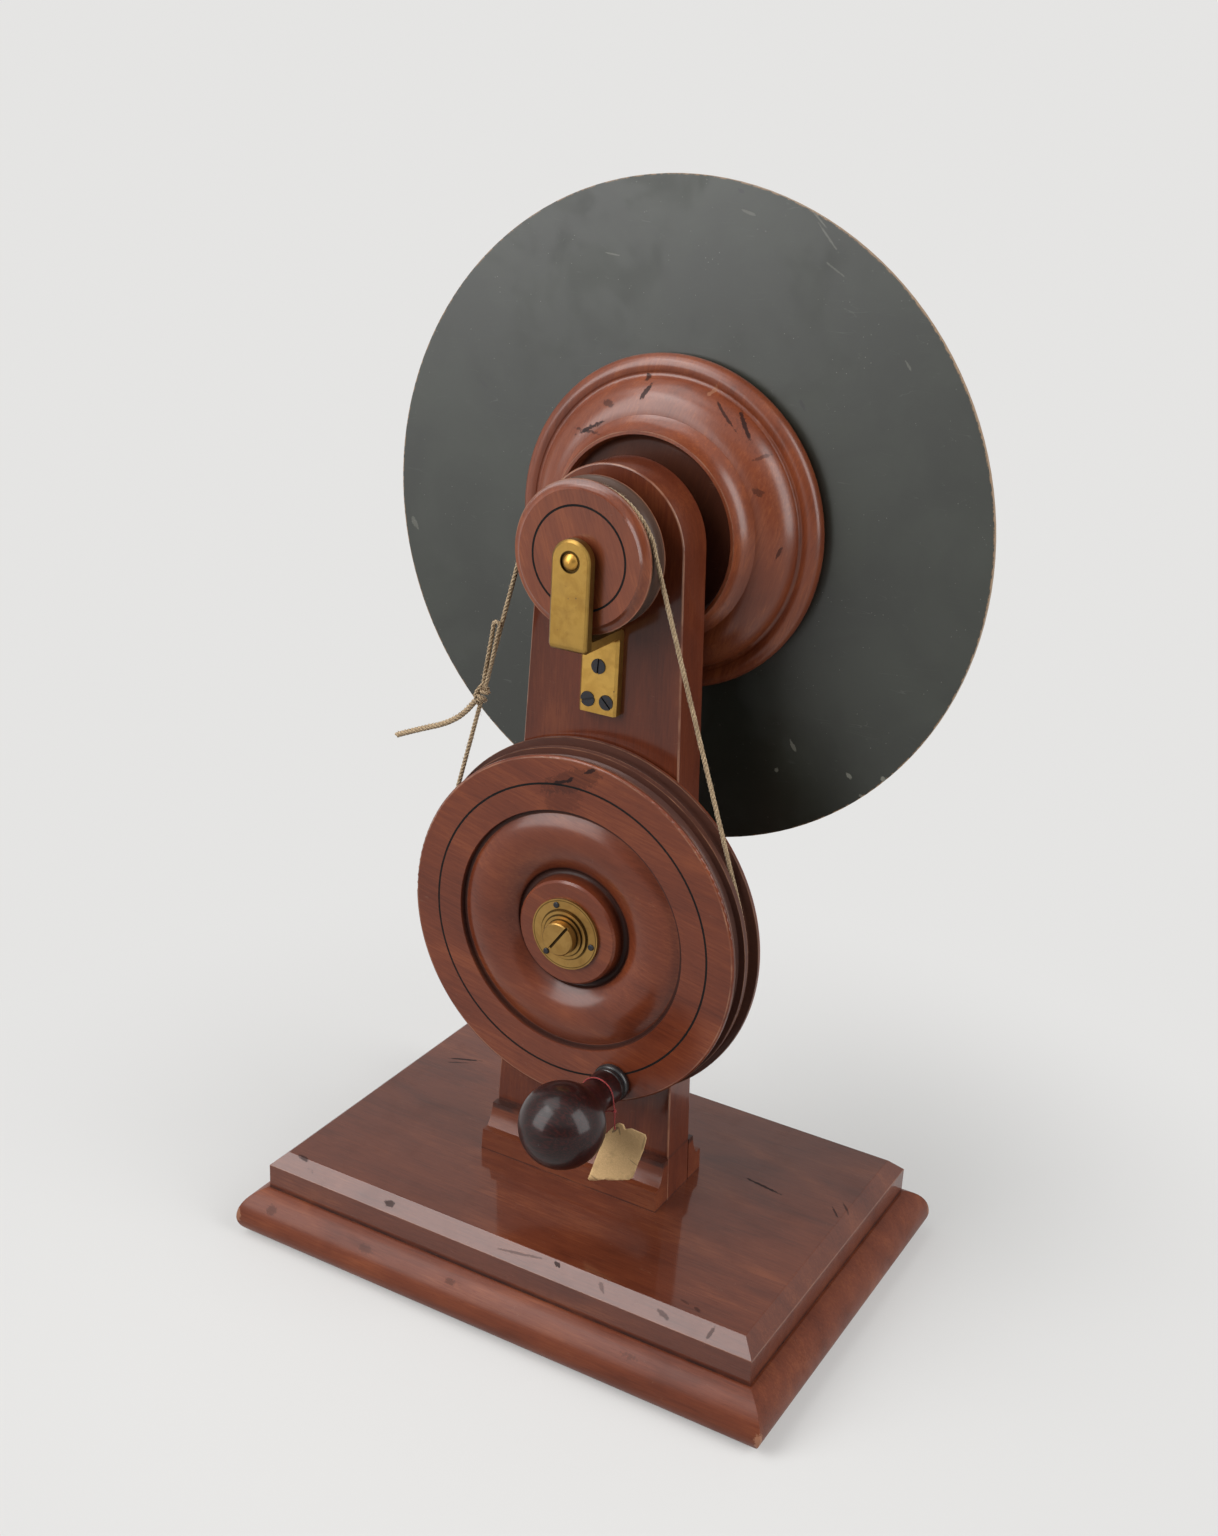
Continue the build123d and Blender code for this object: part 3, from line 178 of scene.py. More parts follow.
# ---------------------------------------------------------------- nodes
class Tree:
    """Adds nodes to a shader tree. A value is a number, a vector, a colour or a socket to link."""

    def __init__(self, tree):
        self.tree = tree

    def set(self, socket, value):
        if isinstance(value, bpy.types.NodeSocket):
            self.tree.links.new(value, socket)
        elif socket.type == "RGBA":
            socket.default_value = (*value[:3], 1)
        else:
            socket.default_value = value

    def put(self, kind, values=None, **settings):
        """Adds a node with values for its sockets, by name or index, and gives its outputs."""
        node = self.tree.nodes.new("ShaderNode" + kind)
        for key, value in settings.items():
            setattr(node, key, value)
        for key, value in (values or {}).items():
            self.set(node.inputs[key], value)
        return node.outputs

    def effect(self, name, values):
        """The outputs of a shared effect."""
        return self.put("Group", values, node_tree=bpy.data.node_groups[name])

    def maths(self, operation, first, second=0.0):
        return self.put("Math", {0: first, 1: second}, operation=operation)[0]

    def plus(self, first, second):
        return self.maths("ADD", first, second)

    def minus(self, first, second):
        return self.maths("SUBTRACT", first, second)

    def times(self, first, second):
        return self.maths("MULTIPLY", first, second)

    def larger(self, first, second):
        return self.maths("MAXIMUM", first, second)

    def size(self, first, second):
        """The length of a line with these two legs."""
        return self.maths("SQRT", self.plus(self.times(first, first), self.times(second, second)))

    def remap(self, value, low, high, to_low=0.0, to_high=1.0):
        """A smooth step from to_low to to_high while the value goes from low to high."""
        values = {"Value": value, "From Min": low, "From Max": high, "To Min": to_low, "To Max": to_high}
        return self.put("MapRange", values, interpolation_type="SMOOTHSTEP")["Result"]

    def blend(self, factor, first, second):
        """A mix of two colours."""
        return self.put("Mix", {0: factor, 6: first, 7: second}, data_type="RGBA")[2]

    def noise(self, vector, scale, detail=3.0, roughness=0.55, distortion=0.0):
        values = {"Vector": vector, "Scale": scale, "Detail": detail}
        values.update({"Roughness": roughness, "Distortion": distortion})
        return self.put("TexNoise", values)["Fac"]

    def dots(self, vector, scale, inner, outer):
        """1 inside scattered dots, fading from their inner to their outer reach."""
        cells = self.put("TexVoronoi", {"Vector": vector, "Scale": scale, "Randomness": 1.0})
        return self.remap(cells["Distance"], inner, outer, 1.0, 0.0)

    def stretched(self, vector, scale, turn=(0, 0, 0), move=(0, 0, 0)):
        values = {"Vector": vector, "Location": move, "Rotation": turn, "Scale": scale}
        return self.put("Mapping", values)["Vector"]

    def vector_maths(self, operation, values):
        return self.put("VectorMath", values, operation=operation)

    def axes(self, vector):
        return self.put("SeparateXYZ", {"Vector": vector})

    def band(self, value, centre, half_width, softness):
        """1 within a half width of a centre value."""
        values = {"Value": value, "Centre": centre, "Half Width": half_width, "Softness": softness}
        return self.effect("Band", values)["Mask"]

    def turned(self, place, axle_x, axle_z):
        return self.effect("Turned position", {"Vector": place, "Axle X": axle_x, "Axle Z": axle_z})

    def ring(self, turned, radius, radius_reach, along, along_reach, softness):
        """1 in a ring round the axle, given by its middle and half width across and along."""
        across = self.band(turned["Radius"], radius, radius_reach, softness)
        return self.times(across, self.band(turned["Along"], along, along_reach, softness))

    def bruise(self, place, centre, size, turn):
        values = {"Vector": place, "Centre": centre, "Size": size, "Turn": turn}
        return self.effect("Bruise", values)["Mask"]

    def handling(self, place, size):
        return self.effect("Handling marks", {"Vector": place, "Size": size})

    def surface(self, values, bumps=None, strength=0.0, distance=0.0001):
        """Sets the Principled shader, with bumps of a strength and a height in metres."""
        shader = self.tree.nodes["Principled BSDF"].inputs
        for key, value in values.items():
            self.set(shader[key], value)
        if bumps:
            bump = self.put("Bump", {"Height": bumps, "Strength": strength, "Distance": distance})
            self.set(shader["Normal"], bump["Normal"])


# ---------------------------------------------------------------- shared effects
def new_effect(name, inputs, outputs):
    """A node group's tree and its input and output sockets. inputs and outputs give each one's kind."""
    group = bpy.data.node_groups.new(name, "ShaderNodeTree")
    for side, sockets in (("INPUT", inputs), ("OUTPUT", outputs)):
        for label, kind in sockets.items():
            group.interface.new_socket(name=label, in_out=side, socket_type="NodeSocket" + kind)
    source = group.nodes.new("NodeGroupInput")
    sink = group.nodes.new("NodeGroupOutput")
    return Tree(group), source.outputs, sink.inputs


def build_turned_position():
    """The distance from a line along Y and the place along it, in millimetres."""
    inputs = {"Vector": "Vector", "Axle X": "Float", "Axle Z": "Float"}
    tree, source, sink = new_effect("Turned position", inputs, {"Radius": "Float", "Along": "Float"})
    axes = tree.axes(source["Vector"])
    side = tree.minus(axes["X"], source["Axle X"])
    height = tree.minus(axes["Z"], source["Axle Z"])
    tree.set(sink["Radius"], tree.size(side, height))
    tree.set(sink["Along"], axes["Y"])


def build_band():
    """1 within a half width of a centre value, fading over a softness."""
    inputs = {"Value": "Float", "Centre": "Float", "Half Width": "Float", "Softness": "Float"}
    tree, source, sink = new_effect("Band", inputs, {"Mask": "Float"})
    gap = tree.maths("ABSOLUTE", tree.minus(source["Value"], source["Centre"]))
    edge = tree.plus(source["Half Width"], source["Softness"])
    tree.set(sink["Mask"], tree.remap(gap, source["Half Width"], edge, 1.0, 0.0))


def build_mahogany():
    """Mahogany's figure: soft patches, fine streaks and short dark pores along the grain (Z)."""
    inputs = {"Vector": "Vector", "Dark": "Color", "Middle": "Color", "Light": "Color"}
    outputs = {"Color": "Color", "Pores": "Float", "Height": "Float"}
    tree, source, sink = new_effect("Mahogany figure", inputs, outputs)
    vector = source["Vector"]
    patches = tree.noise(tree.stretched(vector, (0.050, 0.050, 0.015)), 1.0, 3.0, 0.55, 0.5)
    streaks = tree.noise(tree.stretched(vector, (1.0, 1.0, 0.060)), 1.0, 4.0, 0.6, 0.2)
    specks = tree.noise(tree.stretched(vector, (2.8, 2.8, 0.26)), 1.0, 1.0, 0.5)
    pores = tree.remap(specks, 0.60, 0.72)
    tone = tree.plus(tree.times(patches, 0.62), tree.times(streaks, 0.38))
    colour = tree.blend(tree.remap(tone, 0.31, 0.52), source["Dark"], source["Middle"])
    colour = tree.blend(tree.remap(tone, 0.49, 0.68), colour, source["Light"])
    tree.set(sink["Color"], tree.blend(tree.times(pores, 0.40), colour, source["Dark"]))
    tree.set(sink["Pores"], pores)
    tree.set(sink["Height"], tree.minus(tree.times(streaks, 0.3), pores))


def build_handling():
    """Marks of long use: thin broken scratches, cloudy grime and scattered specks."""
    outputs = {"Scratches": "Float", "Grime": "Float", "Specks": "Float"}
    tree, source, sink = new_effect("Handling marks", {"Vector": "Vector", "Size": "Float"}, outputs)
    scaled = tree.vector_maths("SCALE", {0: source["Vector"], "Scale": source["Size"]})[0]
    masks = []
    for turn, shift in (((0.3, 0.5, 0.2), (3, 9, 4)), ((1.3, 0.2, 1.9), (31, 2, 17))):
        lines = tree.noise(tree.stretched(scaled, (0.035, 0.3, 0.3), turn, shift), 1.0, 1.0, 0.4)
        gap = tree.maths("ABSOLUTE", tree.minus(lines, 0.5))
        thin = tree.remap(gap, 0.0012, 0.0035, 1.0, 0.0)
        breaks = tree.noise(tree.stretched(scaled, (0.09, 0.09, 0.09), turn), 1.0, 2.0)
        masks.append(tree.times(thin, tree.remap(breaks, 0.56, 0.64)))
    tree.set(sink["Scratches"], tree.larger(*masks))
    tree.set(sink["Grime"], tree.remap(tree.noise(scaled, 0.045, 5.0, 0.62, 0.4), 0.45, 0.72))
    chance = tree.remap(tree.noise(scaled, 0.05, 2.0), 0.5, 0.6)
    tree.set(sink["Specks"], tree.times(tree.dots(scaled, 0.16, 0.05, 0.09), chance))


def build_bruise():
    """A mark of a given place, half size and turn, with a ragged edge."""
    inputs = {"Vector": "Vector", "Centre": "Vector", "Size": "Vector", "Turn": "Vector"}
    tree, source, sink = new_effect("Bruise", inputs, {"Mask": "Float"})
    offset = tree.vector_maths("SUBTRACT", {0: source["Vector"], 1: source["Centre"]})[0]
    values = {"Vector": offset, "Rotation": source["Turn"]}
    turned = tree.put("VectorRotate", values, rotation_type="EULER_XYZ")[0]
    local = tree.vector_maths("DIVIDE", {0: turned, 1: source["Size"]})[0]
    reach = tree.vector_maths("LENGTH", {0: local})["Value"]
    rough = tree.noise(source["Vector"], 0.55, 4.0, 0.7)
    ragged = tree.plus(reach, tree.times(tree.minus(rough, 0.5), 1.92))
    tree.set(sink["Mask"], tree.remap(ragged, 0.75, 1.0, 1.0, 0.0))


# ---------------------------------------------------------------- materials
def new_material(name):
    """An empty material, its tree and the positions on a piece in millimetres."""
    material = bpy.data.materials.new(name)
    material.use_nodes = True
    tree = Tree(material.node_tree)
    place = tree.put("TexCoord")["Object"]
    return material, tree, tree.vector_maths("SCALE", {0: place, "Scale": 1000.0})[0]


def scaled_colour(colour, factors):
    return tuple(channel * factor for channel, factor in zip(colour, factors))


def upright_arris(tree, place):
    """1 along the front edge of the upright, round its head and down its tapered sides, where worn polish
    and a painted highlight make it pale.
    """
    axes = tree.axes(place)
    side = tree.maths("ABSOLUTE", axes["X"])
    above = tree.minus(axes["Z"], SPINDLE_HEIGHT)
    head = tree.minus(tree.size(side, above), UPRIGHT_HEAD_RADIUS)
    taper = tree.plus(side, tree.times(above, UPRIGHT_TAPER))
    flank = tree.minus(taper, UPRIGHT_HEAD_RADIUS)
    # Below the spindle the head's circle is pushed far off, so that only the sides count
    around_head = tree.minus(head, tree.remap(above, 0.0, 2.0, 900.0, 0.0))
    edge = tree.band(tree.larger(flank, around_head), -0.35, 0.25, 0.35)
    return tree.times(edge, tree.band(axes["Y"], UPRIGHT_FRONT + 0.3, 0.2, 0.3))


def wood_material(
    name, grain_turn=(0, 0, 0), tint=(1, 1, 1), polish=1.0, coat_roughness=0.10, axle_z=None,
    marks=(), turn_axis=1, arrises=(), shaded_hollows=(), seam_light_and_shade=(), worn_and_lit_edge=None,
):
    """French-polished mahogany. marks are (place, half size, turn about an axis, strength), pale where
    the strength is negative. arrises are (radius, along) of a turned piece's edges, made pale for worn
    polish and as a painted highlight. Hollows are (radius, reach, along, reach, softness, strength,
    shade), darkened by painted shade and dust, with the polish dulled there. Seams are (height, reach,
    softness, strength) of level lines at the joins and the foot, in painted shade, and a painted
    highlight where the strength is negative."""
    settings = bpy.context.scene.disc_wood
    material, tree, place = new_material(name)
    dark, middle, light = (scaled_colour(c, tint) for c in (settings.dark, settings.middle, settings.light))
    grain = tree.stretched(place, (1, 1, 1), grain_turn)
    shades = {"Dark": dark, "Middle": middle, "Light": light}
    figure = tree.effect("Mahogany figure", {"Vector": grain, **shades})
    handling = tree.handling(place, 1.0)
    colour = tree.blend(tree.times(handling["Grime"], 0.25), figure["Color"], dark)
    patchiness = tree.noise(place, 0.07)
    dull = []
    # Lines at the joins and the foot: painted shade, and a painted highlight where the strength is negative
    if seam_light_and_shade:
        level = tree.axes(place)["Z"]
        broken = tree.remap(patchiness, 0.25, 0.6, 0.35, 1.0)
        for height, reach, softness, strength in seam_light_and_shade:
            mask = tree.times(tree.band(level, height, reach, softness), abs(strength))
            colour = tree.blend(tree.times(mask, broken), colour, SOIL_AND_SHADE if strength > 0 else RUBBED_AND_HIGHLIGHT)
    # Hollows of a turned piece: painted shade and dust, which also dull the polish
    if axle_z:
        turned = tree.turned(place, 0.0, axle_z)
        for *zone, strength, shade in shaded_hollows:
            dull.append(tree.times(tree.ring(turned, *zone), strength))
            colour = tree.blend(dull[-1], colour, shade)
    for centre, size, angle, strength in marks:
        turn = [0, 0, 0]
        turn[turn_axis] = angle
        dull.append(tree.times(tree.bruise(place, centre, size, turn), abs(strength)))
        colour = tree.blend(dull[-1], colour, SOIL_AND_SHADE if strength > 0 else RUBBED_AND_HIGHLIGHT)
    # Pale edges: worn polish and a painted highlight along the arrises and the upright's front edge
    edges = [tree.ring(turned, radius, 0.10, along, 0.12, 0.35) for radius, along in arrises]
    if worn_and_lit_edge:
        edges.append(worn_and_lit_edge(tree, place))
    for edge in edges:
        colour = tree.blend(tree.times(edge, tree.remap(patchiness, 0.35, 0.62, 0.12, 0.70)), colour, RUBBED_AND_HIGHLIGHT)
    colour = tree.blend(tree.times(handling["Scratches"], 0.30), colour, SCRATCHED)
    rough = tree.plus(0.42, tree.times(handling["Grime"], 0.16))
    coat = settings.polish * polish
    if dull:
        coat = tree.times(tree.minus(1.0, reduce(tree.larger, dull)), coat)
    tree.surface(
        {
            "Base Color": colour,
            "Roughness": tree.plus(rough, tree.times(figure["Pores"], 0.12)),
            "Specular IOR Level": 0.1,
            "Coat Weight": coat,
            "Coat Roughness": coat_roughness,
        },
        tree.minus(figure["Height"], tree.times(handling["Scratches"], 1.5)),
        0.20,
    )
    return material


def brass_material(name, tint=(1, 1, 1), spots=1.0, axle_z=SPINDLE_HEIGHT, shade_and_tarnish=()):
    """Old lacquered brass: warm and satin, with black pits. The brown zones round the axle are
    (radius, reach, along, reach, softness, strength): painted shade in recesses, corners and side faces,
    and tarnish."""
    material, tree, place = new_material(name)
    base = scaled_colour((0.50, 0.300, 0.076), tint)
    cloud = tree.noise(place, 0.16, 3.0, 0.55, 0.4)
    brown = scaled_colour(base, (0.72, 0.68, 0.62))
    colour = tree.blend(tree.remap(cloud, 0.38, 0.72, 0.0, 0.8), base, brown)
    chance = tree.remap(tree.noise(place, 0.3, 2.0), 0.50, 0.60)
    pits = tree.times(tree.times(tree.dots(place, 0.30, 0.06, 0.12), chance), spots)
    turned = tree.turned(place, 0.0, axle_z)
    # Brown zones: painted shade in recesses, corners and side faces, and tarnish
    for *zone, strength in shade_and_tarnish:
        colour = tree.blend(tree.times(tree.ring(turned, *zone), strength), colour, (0.022, 0.013, 0.006))
    colour = tree.blend(pits, colour, (0.030, 0.015, 0.008))
    grime = tree.times(tree.handling(place, 2.2)["Grime"], 0.25)
    brushed = tree.noise(tree.stretched(place, (6.0, 6.0, 0.3)), 1.0, 2.0)
    tree.surface(
        {
            "Base Color": tree.blend(grime, colour, (0.17, 0.095, 0.035)),
            "Metallic": tree.minus(1.0, tree.times(pits, 0.8)),
            "Roughness": tree.remap(cloud, 0.35, 0.7, 0.36, 0.46),
        },
        tree.minus(brushed, pits),
        0.12,
        0.00008,
    )
    return material


def steel_material(name, shade=(0.034, 0.035, 0.040), roughness=0.46):
    """Dull blued steel with rust-brown freckles."""
    material, tree, place = new_material(name)
    cloud = tree.noise(place, 0.8, 4.0, 0.6)
    values = {
        "Base Color": tree.blend(tree.remap(cloud, 0.5, 0.7), shade, (0.050, 0.034, 0.026)),
        "Metallic": 0.85,
        "Roughness": tree.remap(cloud, 0.3, 0.7, roughness - 0.08, roughness + 0.12),
    }
    tree.surface(values, cloud, 0.2)
    return material


def dark_wood_material(name, dark, light, roughness, coat, coat_roughness=0.14):
    """Close-grained dark wood with a hard polish."""
    material, tree, place = new_material(name)
    streaks = tree.noise(tree.stretched(place, (0.12, 1.4, 1.4)), 1.0, 4.0, 0.6, 0.3)
    marks = tree.handling(place, 1.6)
    colour = tree.blend(tree.remap(streaks, 0.42, 0.66), dark, light)
    values = {
        "Base Color": tree.blend(tree.times(marks["Scratches"], 0.3), colour, (0.12, 0.08, 0.07)),
        "Roughness": tree.plus(roughness, tree.times(marks["Grime"], 0.12)),
        "Coat Weight": coat,
        "Coat Roughness": coat_roughness,
        "Specular IOR Level": 0.15,
    }
    tree.surface(values, streaks, 0.08)
    return material


def twine_material(name, colour, dark, laid=True):
    """Twisted fibres, dark where they are soiled and, on laid twine, with painted shade in the valleys
    between yarns.
    """
    material, tree, place = new_material(name)
    fibres = tree.noise(place, 2.4, 4.0, 0.7, 0.4)
    soil = tree.noise(place, 0.09, 3.0, 0.6)
    shade = tree.blend(tree.remap(fibres, 0.35, 0.62), dark, colour)
    shade = tree.blend(tree.remap(soil, 0.50, 0.70, 0.0, 0.5), shade, dark)
    # Painted shade in the valleys between the yarns of laid twine
    if laid:
        proud = tree.put("Attribute", attribute_name="Proud")["Fac"]
        shade = tree.blend(tree.remap(proud, 0.66, 0.90, 0.85, 0.0), shade, dark)
    tree.surface({"Base Color": shade, "Roughness": 0.85, "Sheen Weight": 0.25}, fibres, 0.5, 0.0002)
    return material

# x, z, half length, half width, turn and strength, pale where the strength is negative
DISC_MARKS = (
    (22.6, 505.7, 2.0, 0.9, -0.56, 0.9),
    (27.1, 497.2, 3.7, 0.7, -0.25, -0.35),
    (57.2, 499.2, 9.9, 0.4, -0.72, -0.5),
    (63.9, 490.6, 7.5, 0.5, -0.83, -0.45),
    (68.8, 477.7, 5.6, 0.5, -0.52, -0.35),
    (-38.7, 474.3, 4.9, 0.4, -0.08, -0.5),
    (-96.6, 476.1, 3.6, 0.7, 0.60, 0.7),
    (-105.4, 408.6, 2.8, 0.8, -0.60, 0.6),
    (61.7, 251.9, 1.2, 1.2, -0.76, -0.9),
    (105.8, 248.3, 2.6, 1.3, -0.60, -0.9),
    (114.8, 259.3, 3.2, 1.4, -0.60, -0.9),
    (68.8, 265.5, 3.1, 1.0, -0.97, -0.8),
    (97.5, 257.6, 2.3, 1.0, -0.76, -0.8),
    (59.2, 419.9, 2.9, 1.0, -0.96, 0.8),
    (-144.6, 335.2, 4.0, 1.5, -1.08, -0.4),
    (105.1, 442.5, 2.9, 0.6, -0.89, -0.4),
)


def disc_material():
    """The disc's near face: dull dark paint, scuffed and specked, and a bare tan edge."""
    material, tree, place = new_material("Disc paint")
    marks = tree.handling(place, 0.8)
    fine = tree.handling(place, 2.4)
    cloud = tree.noise(place, 0.018, 4.0, 0.6, 0.5)
    colour = tree.blend(tree.remap(cloud, 0.35, 0.7), (0.0085, 0.0105, 0.0060), (0.0165, 0.0200, 0.0130))
    colour = tree.blend(tree.times(marks["Scratches"], 0.4), colour, (0.07, 0.075, 0.065))
    colour = tree.blend(tree.times(fine["Specks"], 0.5), colour, (0.30, 0.30, 0.27))
    colour = tree.blend(tree.times(marks["Specks"], 0.6), colour, (0.012, 0.012, 0.012))
    for x, z, length, width, turn, strength in DISC_MARKS:
        mark = tree.bruise(place, (x, DISC_NEAR_FACE, z), (length, 4, width), (0, turn, 0))
        shade = (0.004, 0.004, 0.004) if strength > 0 else (0.16, 0.16, 0.13)
        colour = tree.blend(tree.times(mark, abs(strength)), colour, shade)
    radius = tree.turned(place, 0.0, SPINDLE_HEIGHT)["Radius"]
    edge = tree.remap(radius, DISC_RADIUS - 0.7, DISC_RADIUS - 0.2)
    chips = tree.remap(tree.noise(place, 0.35, 4.0, 0.7), 0.45, 0.55)
    rim = tree.remap(radius, DISC_RADIUS - 0.12, DISC_RADIUS - 0.04)
    bare = tree.larger(rim, tree.times(edge, chips))
    values = {
        "Base Color": tree.blend(tree.times(bare, 0.85), colour, (0.30, 0.18, 0.09)),
        "Roughness": tree.remap(marks["Grime"], 0.0, 1.0, 0.40, 0.50),
        "Specular IOR Level": 0.7,
    }
    tree.surface(values, tree.noise(place, 1.6, 3.0, 0.6), 0.12)
    return material


def sector_material(name, colour):
    """Flat water-based paint on paper, a little uneven, with brush marks."""
    material, tree, place = new_material(name)
    brush = tree.noise(tree.stretched(place, (0.5, 0.5, 0.05)), 1.0, 4.0, 0.6)
    cloud = tree.noise(place, 0.03, 4.0, 0.6)
    pale = tuple(min(1, channel * 1.25 + 0.03) for channel in colour)
    deep = tuple(channel * 0.78 for channel in colour)
    shade = tree.blend(tree.remap(brush, 0.35, 0.65, 0.3, 0.8), deep, pale)
    shade = tree.blend(tree.remap(cloud, 0.45, 0.7, 0.0, 0.18), shade, (0.25, 0.2, 0.14))
    tree.surface({"Base Color": shade, "Roughness": tree.remap(brush, 0.3, 0.7, 0.62, 0.78)}, brush, 0.15)
    return material


# x and z from the handle's axis, half length, half width, turn and strength
TAG_MARKS = (
    (9.2, -16.4, 2.6, 0.8, 0.9, 0.8),
    (11.6, -16.6, 0.5, 2.2, 0.2, 0.6),
    # Painted shade along the crease
    (21.0, -29.6, 4.2, 0.35, -0.30, 0.45),
    (1.4, -44.9, 3.2, 0.5, -0.45, 0.5),
    (24.6, -18.0, 0.5, 4.5, -0.15, 0.35),
)


def paper_material():
    """Old buff card: fibres, foxing, soiled edges and painted shade along its crease."""
    material, tree, place = new_material("Tag paper")
    fibres = tree.noise(place, 1.8, 5.0, 0.7)
    foxing = tree.noise(place, 0.16, 4.0, 0.6)
    colour = tree.blend(tree.remap(fibres, 0.3, 0.7), (0.58, 0.370, 0.165), (0.72, 0.49, 0.245))
    colour = tree.blend(tree.remap(foxing, 0.52, 0.72, 0.0, 0.5), colour, (0.36, 0.22, 0.10))
    for x, z, length, width, turn, strength in TAG_MARKS:
        centre = (CRANK_X + x, TAG_FRONT, CRANK_Z + z)
        mark = tree.bruise(place, centre, (length, 4.0, width), (0, turn, 0))
        colour = tree.blend(tree.times(mark, strength), colour, (0.16, 0.095, 0.050))
    tree.surface({"Base Color": colour, "Roughness": tree.remap(fibres, 0.3, 0.7, 0.78, 0.9)}, fibres, 0.25)
    return material


def dress(names, material):
    for name in names:
        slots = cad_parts[name].material_slots
        if not slots:
            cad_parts[name].data.materials.append(material)
        for slot in slots:
            slot.material = material


def finish_piece(piece, material, body, slot, *replaced):
    """Gives a new piece its material and body, and hides the CAD nodes that it replaces."""
    piece.data.materials.append(material)
    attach(piece, body)
    if replaced:
        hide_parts(*replaced)


# ---------------------------------------------------------------- cords
def even_points(points, step):
    """The same line with points a step apart."""
    lengths = [(b - a).length for a, b in zip(points, points[1:])]
    total = sum(lengths)
    count = max(2, round(total / step))
    result = []
    index = 0
    walked = 0.0
    for number in range(count + 1):
        want = total * number / count
        while index < len(lengths) - 1 and walked + lengths[index] < want:
            walked += lengths[index]
            index += 1
        share = (want - walked) / lengths[index]
        result.append(points[index].lerp(points[index + 1], min(1.0, share)))
    return result


def carried_frames(points):
    """A point, a side and an up direction along a line, carried along it without twisting."""
    tangents = [
        (points[min(i + 1, len(points) - 1)] - points[max(i - 1, 0)]).normalized()
        for i in range(len(points))
    ]
    side = tangents[0].orthogonal().normalized()
    frames = []
    for point, tangent in zip(points, tangents):
        side = (side - tangent * side.dot(tangent)).normalized()
        frames.append((point, side, tangent.cross(side)))
    return frames


def line_curve(name, kind, lines, **settings):
    """A curve with a spline of one kind along each line of points."""
    curve = bpy.data.curves.new(name, "CURVE")
    curve.dimensions = "3D"
    for key, value in settings.items():
        setattr(curve, key, value)
    for line in lines:
        spline = curve.splines.new(kind)
        spline.points.add(len(line) - 1)
        for target, point in zip(spline.points, line):
            target.co = (*point, 1)
    return curve


def curve_mesh(curve):
    """The mesh that a curve makes."""
    holder = bpy.data.objects.new(curve.name, curve)
    bpy.context.scene.collection.objects.link(holder)
    mesh = bpy.data.meshes.new_from_object(holder)
    bpy.data.objects.remove(holder)
    return mesh


def new_piece(name, mesh):
    """A smooth-shaded object in the scene."""
    piece = bpy.data.objects.new(name, mesh)
    bpy.context.scene.collection.objects.link(piece)
    for polygon in mesh.polygons:
        polygon.use_smooth = True
    return piece


def spline_points(name, control_points):
    """The line of a NURBS spline drawn by control points in metres."""
    curve = line_curve(name, "NURBS", [control_points], resolution_u=24)
    curve.splines[0].order_u = 3
    curve.splines[0].use_endpoint_u = True
    mesh = curve_mesh(curve)
    points = [vertex.co.copy() for vertex in mesh.vertices]
    bpy.data.meshes.remove(mesh)
    return points


def tube_piece(name, lines, radius, sides=2, taper=0.0):
    """A piece of round tubes along lines of points, thinner by a share at their last point."""
    curve = line_curve(name, "POLY", lines, bevel_depth=radius, bevel_resolution=sides, use_fill_caps=True)
    for spline in curve.splines:
        for index, point in enumerate(spline.points):
            point.radius = 1.0 - taper * (index / (len(spline.points) - 1))
    mesh = curve_mesh(curve)
    mesh.name = name
    return new_piece(name, mesh)


def mark_proud(piece, centres, radius):
    """Stores how far each vertex stands from the middle of its twine, 1 at the crests of the yarns."""
    mesh = piece.data
    values = [1.0] * len(mesh.vertices)
    if centres:
        near = KDTree(len(centres))
        for index, centre in enumerate(centres):
            near.insert(centre, index)
        near.balance()
        values = [near.find(vertex.co)[2] / radius for vertex in mesh.vertices]
    mesh.attributes.new("Proud", "FLOAT", "POINT").data.foreach_set("value", values)


def laid_twine(name, points, radius, phase=0.0):
    """Yarns laid round each other along a line."""
    settings = bpy.context.scene.disc_twine
    frames = carried_frames(even_points(points, TWINE_STEP * MM))
    yarn_radius = radius * YARN_SHARE
    offset = radius - yarn_radius
    lines = []
    for strand in range(settings.strands):
        line = []
        walked = 0.0
        previous = frames[0][0]
        for point, side, up in frames:
            walked += (point - previous).length
            previous = point
            angle = phase + 2 * pi * (strand / settings.strands + walked / settings.lay)
            line.append(point + offset * (side * cos(angle) + up * sin(angle)))
        lines.append(line)
    piece = tube_piece(name, lines, yarn_radius)
    mark_proud(piece, [point for point, _, _ in frames], radius)
    return piece


def run_ends(side):
    """One straight run of the belt: where it leaves the pulley, starts and ends its slant, and meets
    the wheel."""
    down = Vector((side * sin(RUN_SLOPE), 0, -cos(RUN_SLOPE)))
    top, bottom = (
        Vector((side * radius * cos(RUN_SLOPE), y, height + radius * sin(RUN_SLOPE)))
        for radius, y, height in (
            (PULLEY_PITCH_RADIUS, PULLEY_BELT_Y, SPINDLE_HEIGHT),
            (WHEEL_PITCH_RADIUS, WHEEL_BELT_Y, WHEEL_HEIGHT),
        )
    )
    return top * MM, (top + down * RUN_LEAD) * MM, (bottom - down * RUN_LEAD) * MM, bottom * MM


def arc_points(radius, y, height, start, end, count=64, forward=0.0):
    """Points round an axle. The line comes forward in the middle of the arc, as it rides in its groove."""
    points = []
    for index in range(count + 1):
        share = index / count
        angle = start + (end - start) * share
        depth = y - forward * sin(pi * share)
        points.append(Vector((radius * cos(angle), depth, height + radius * sin(angle))) * MM)
    return points


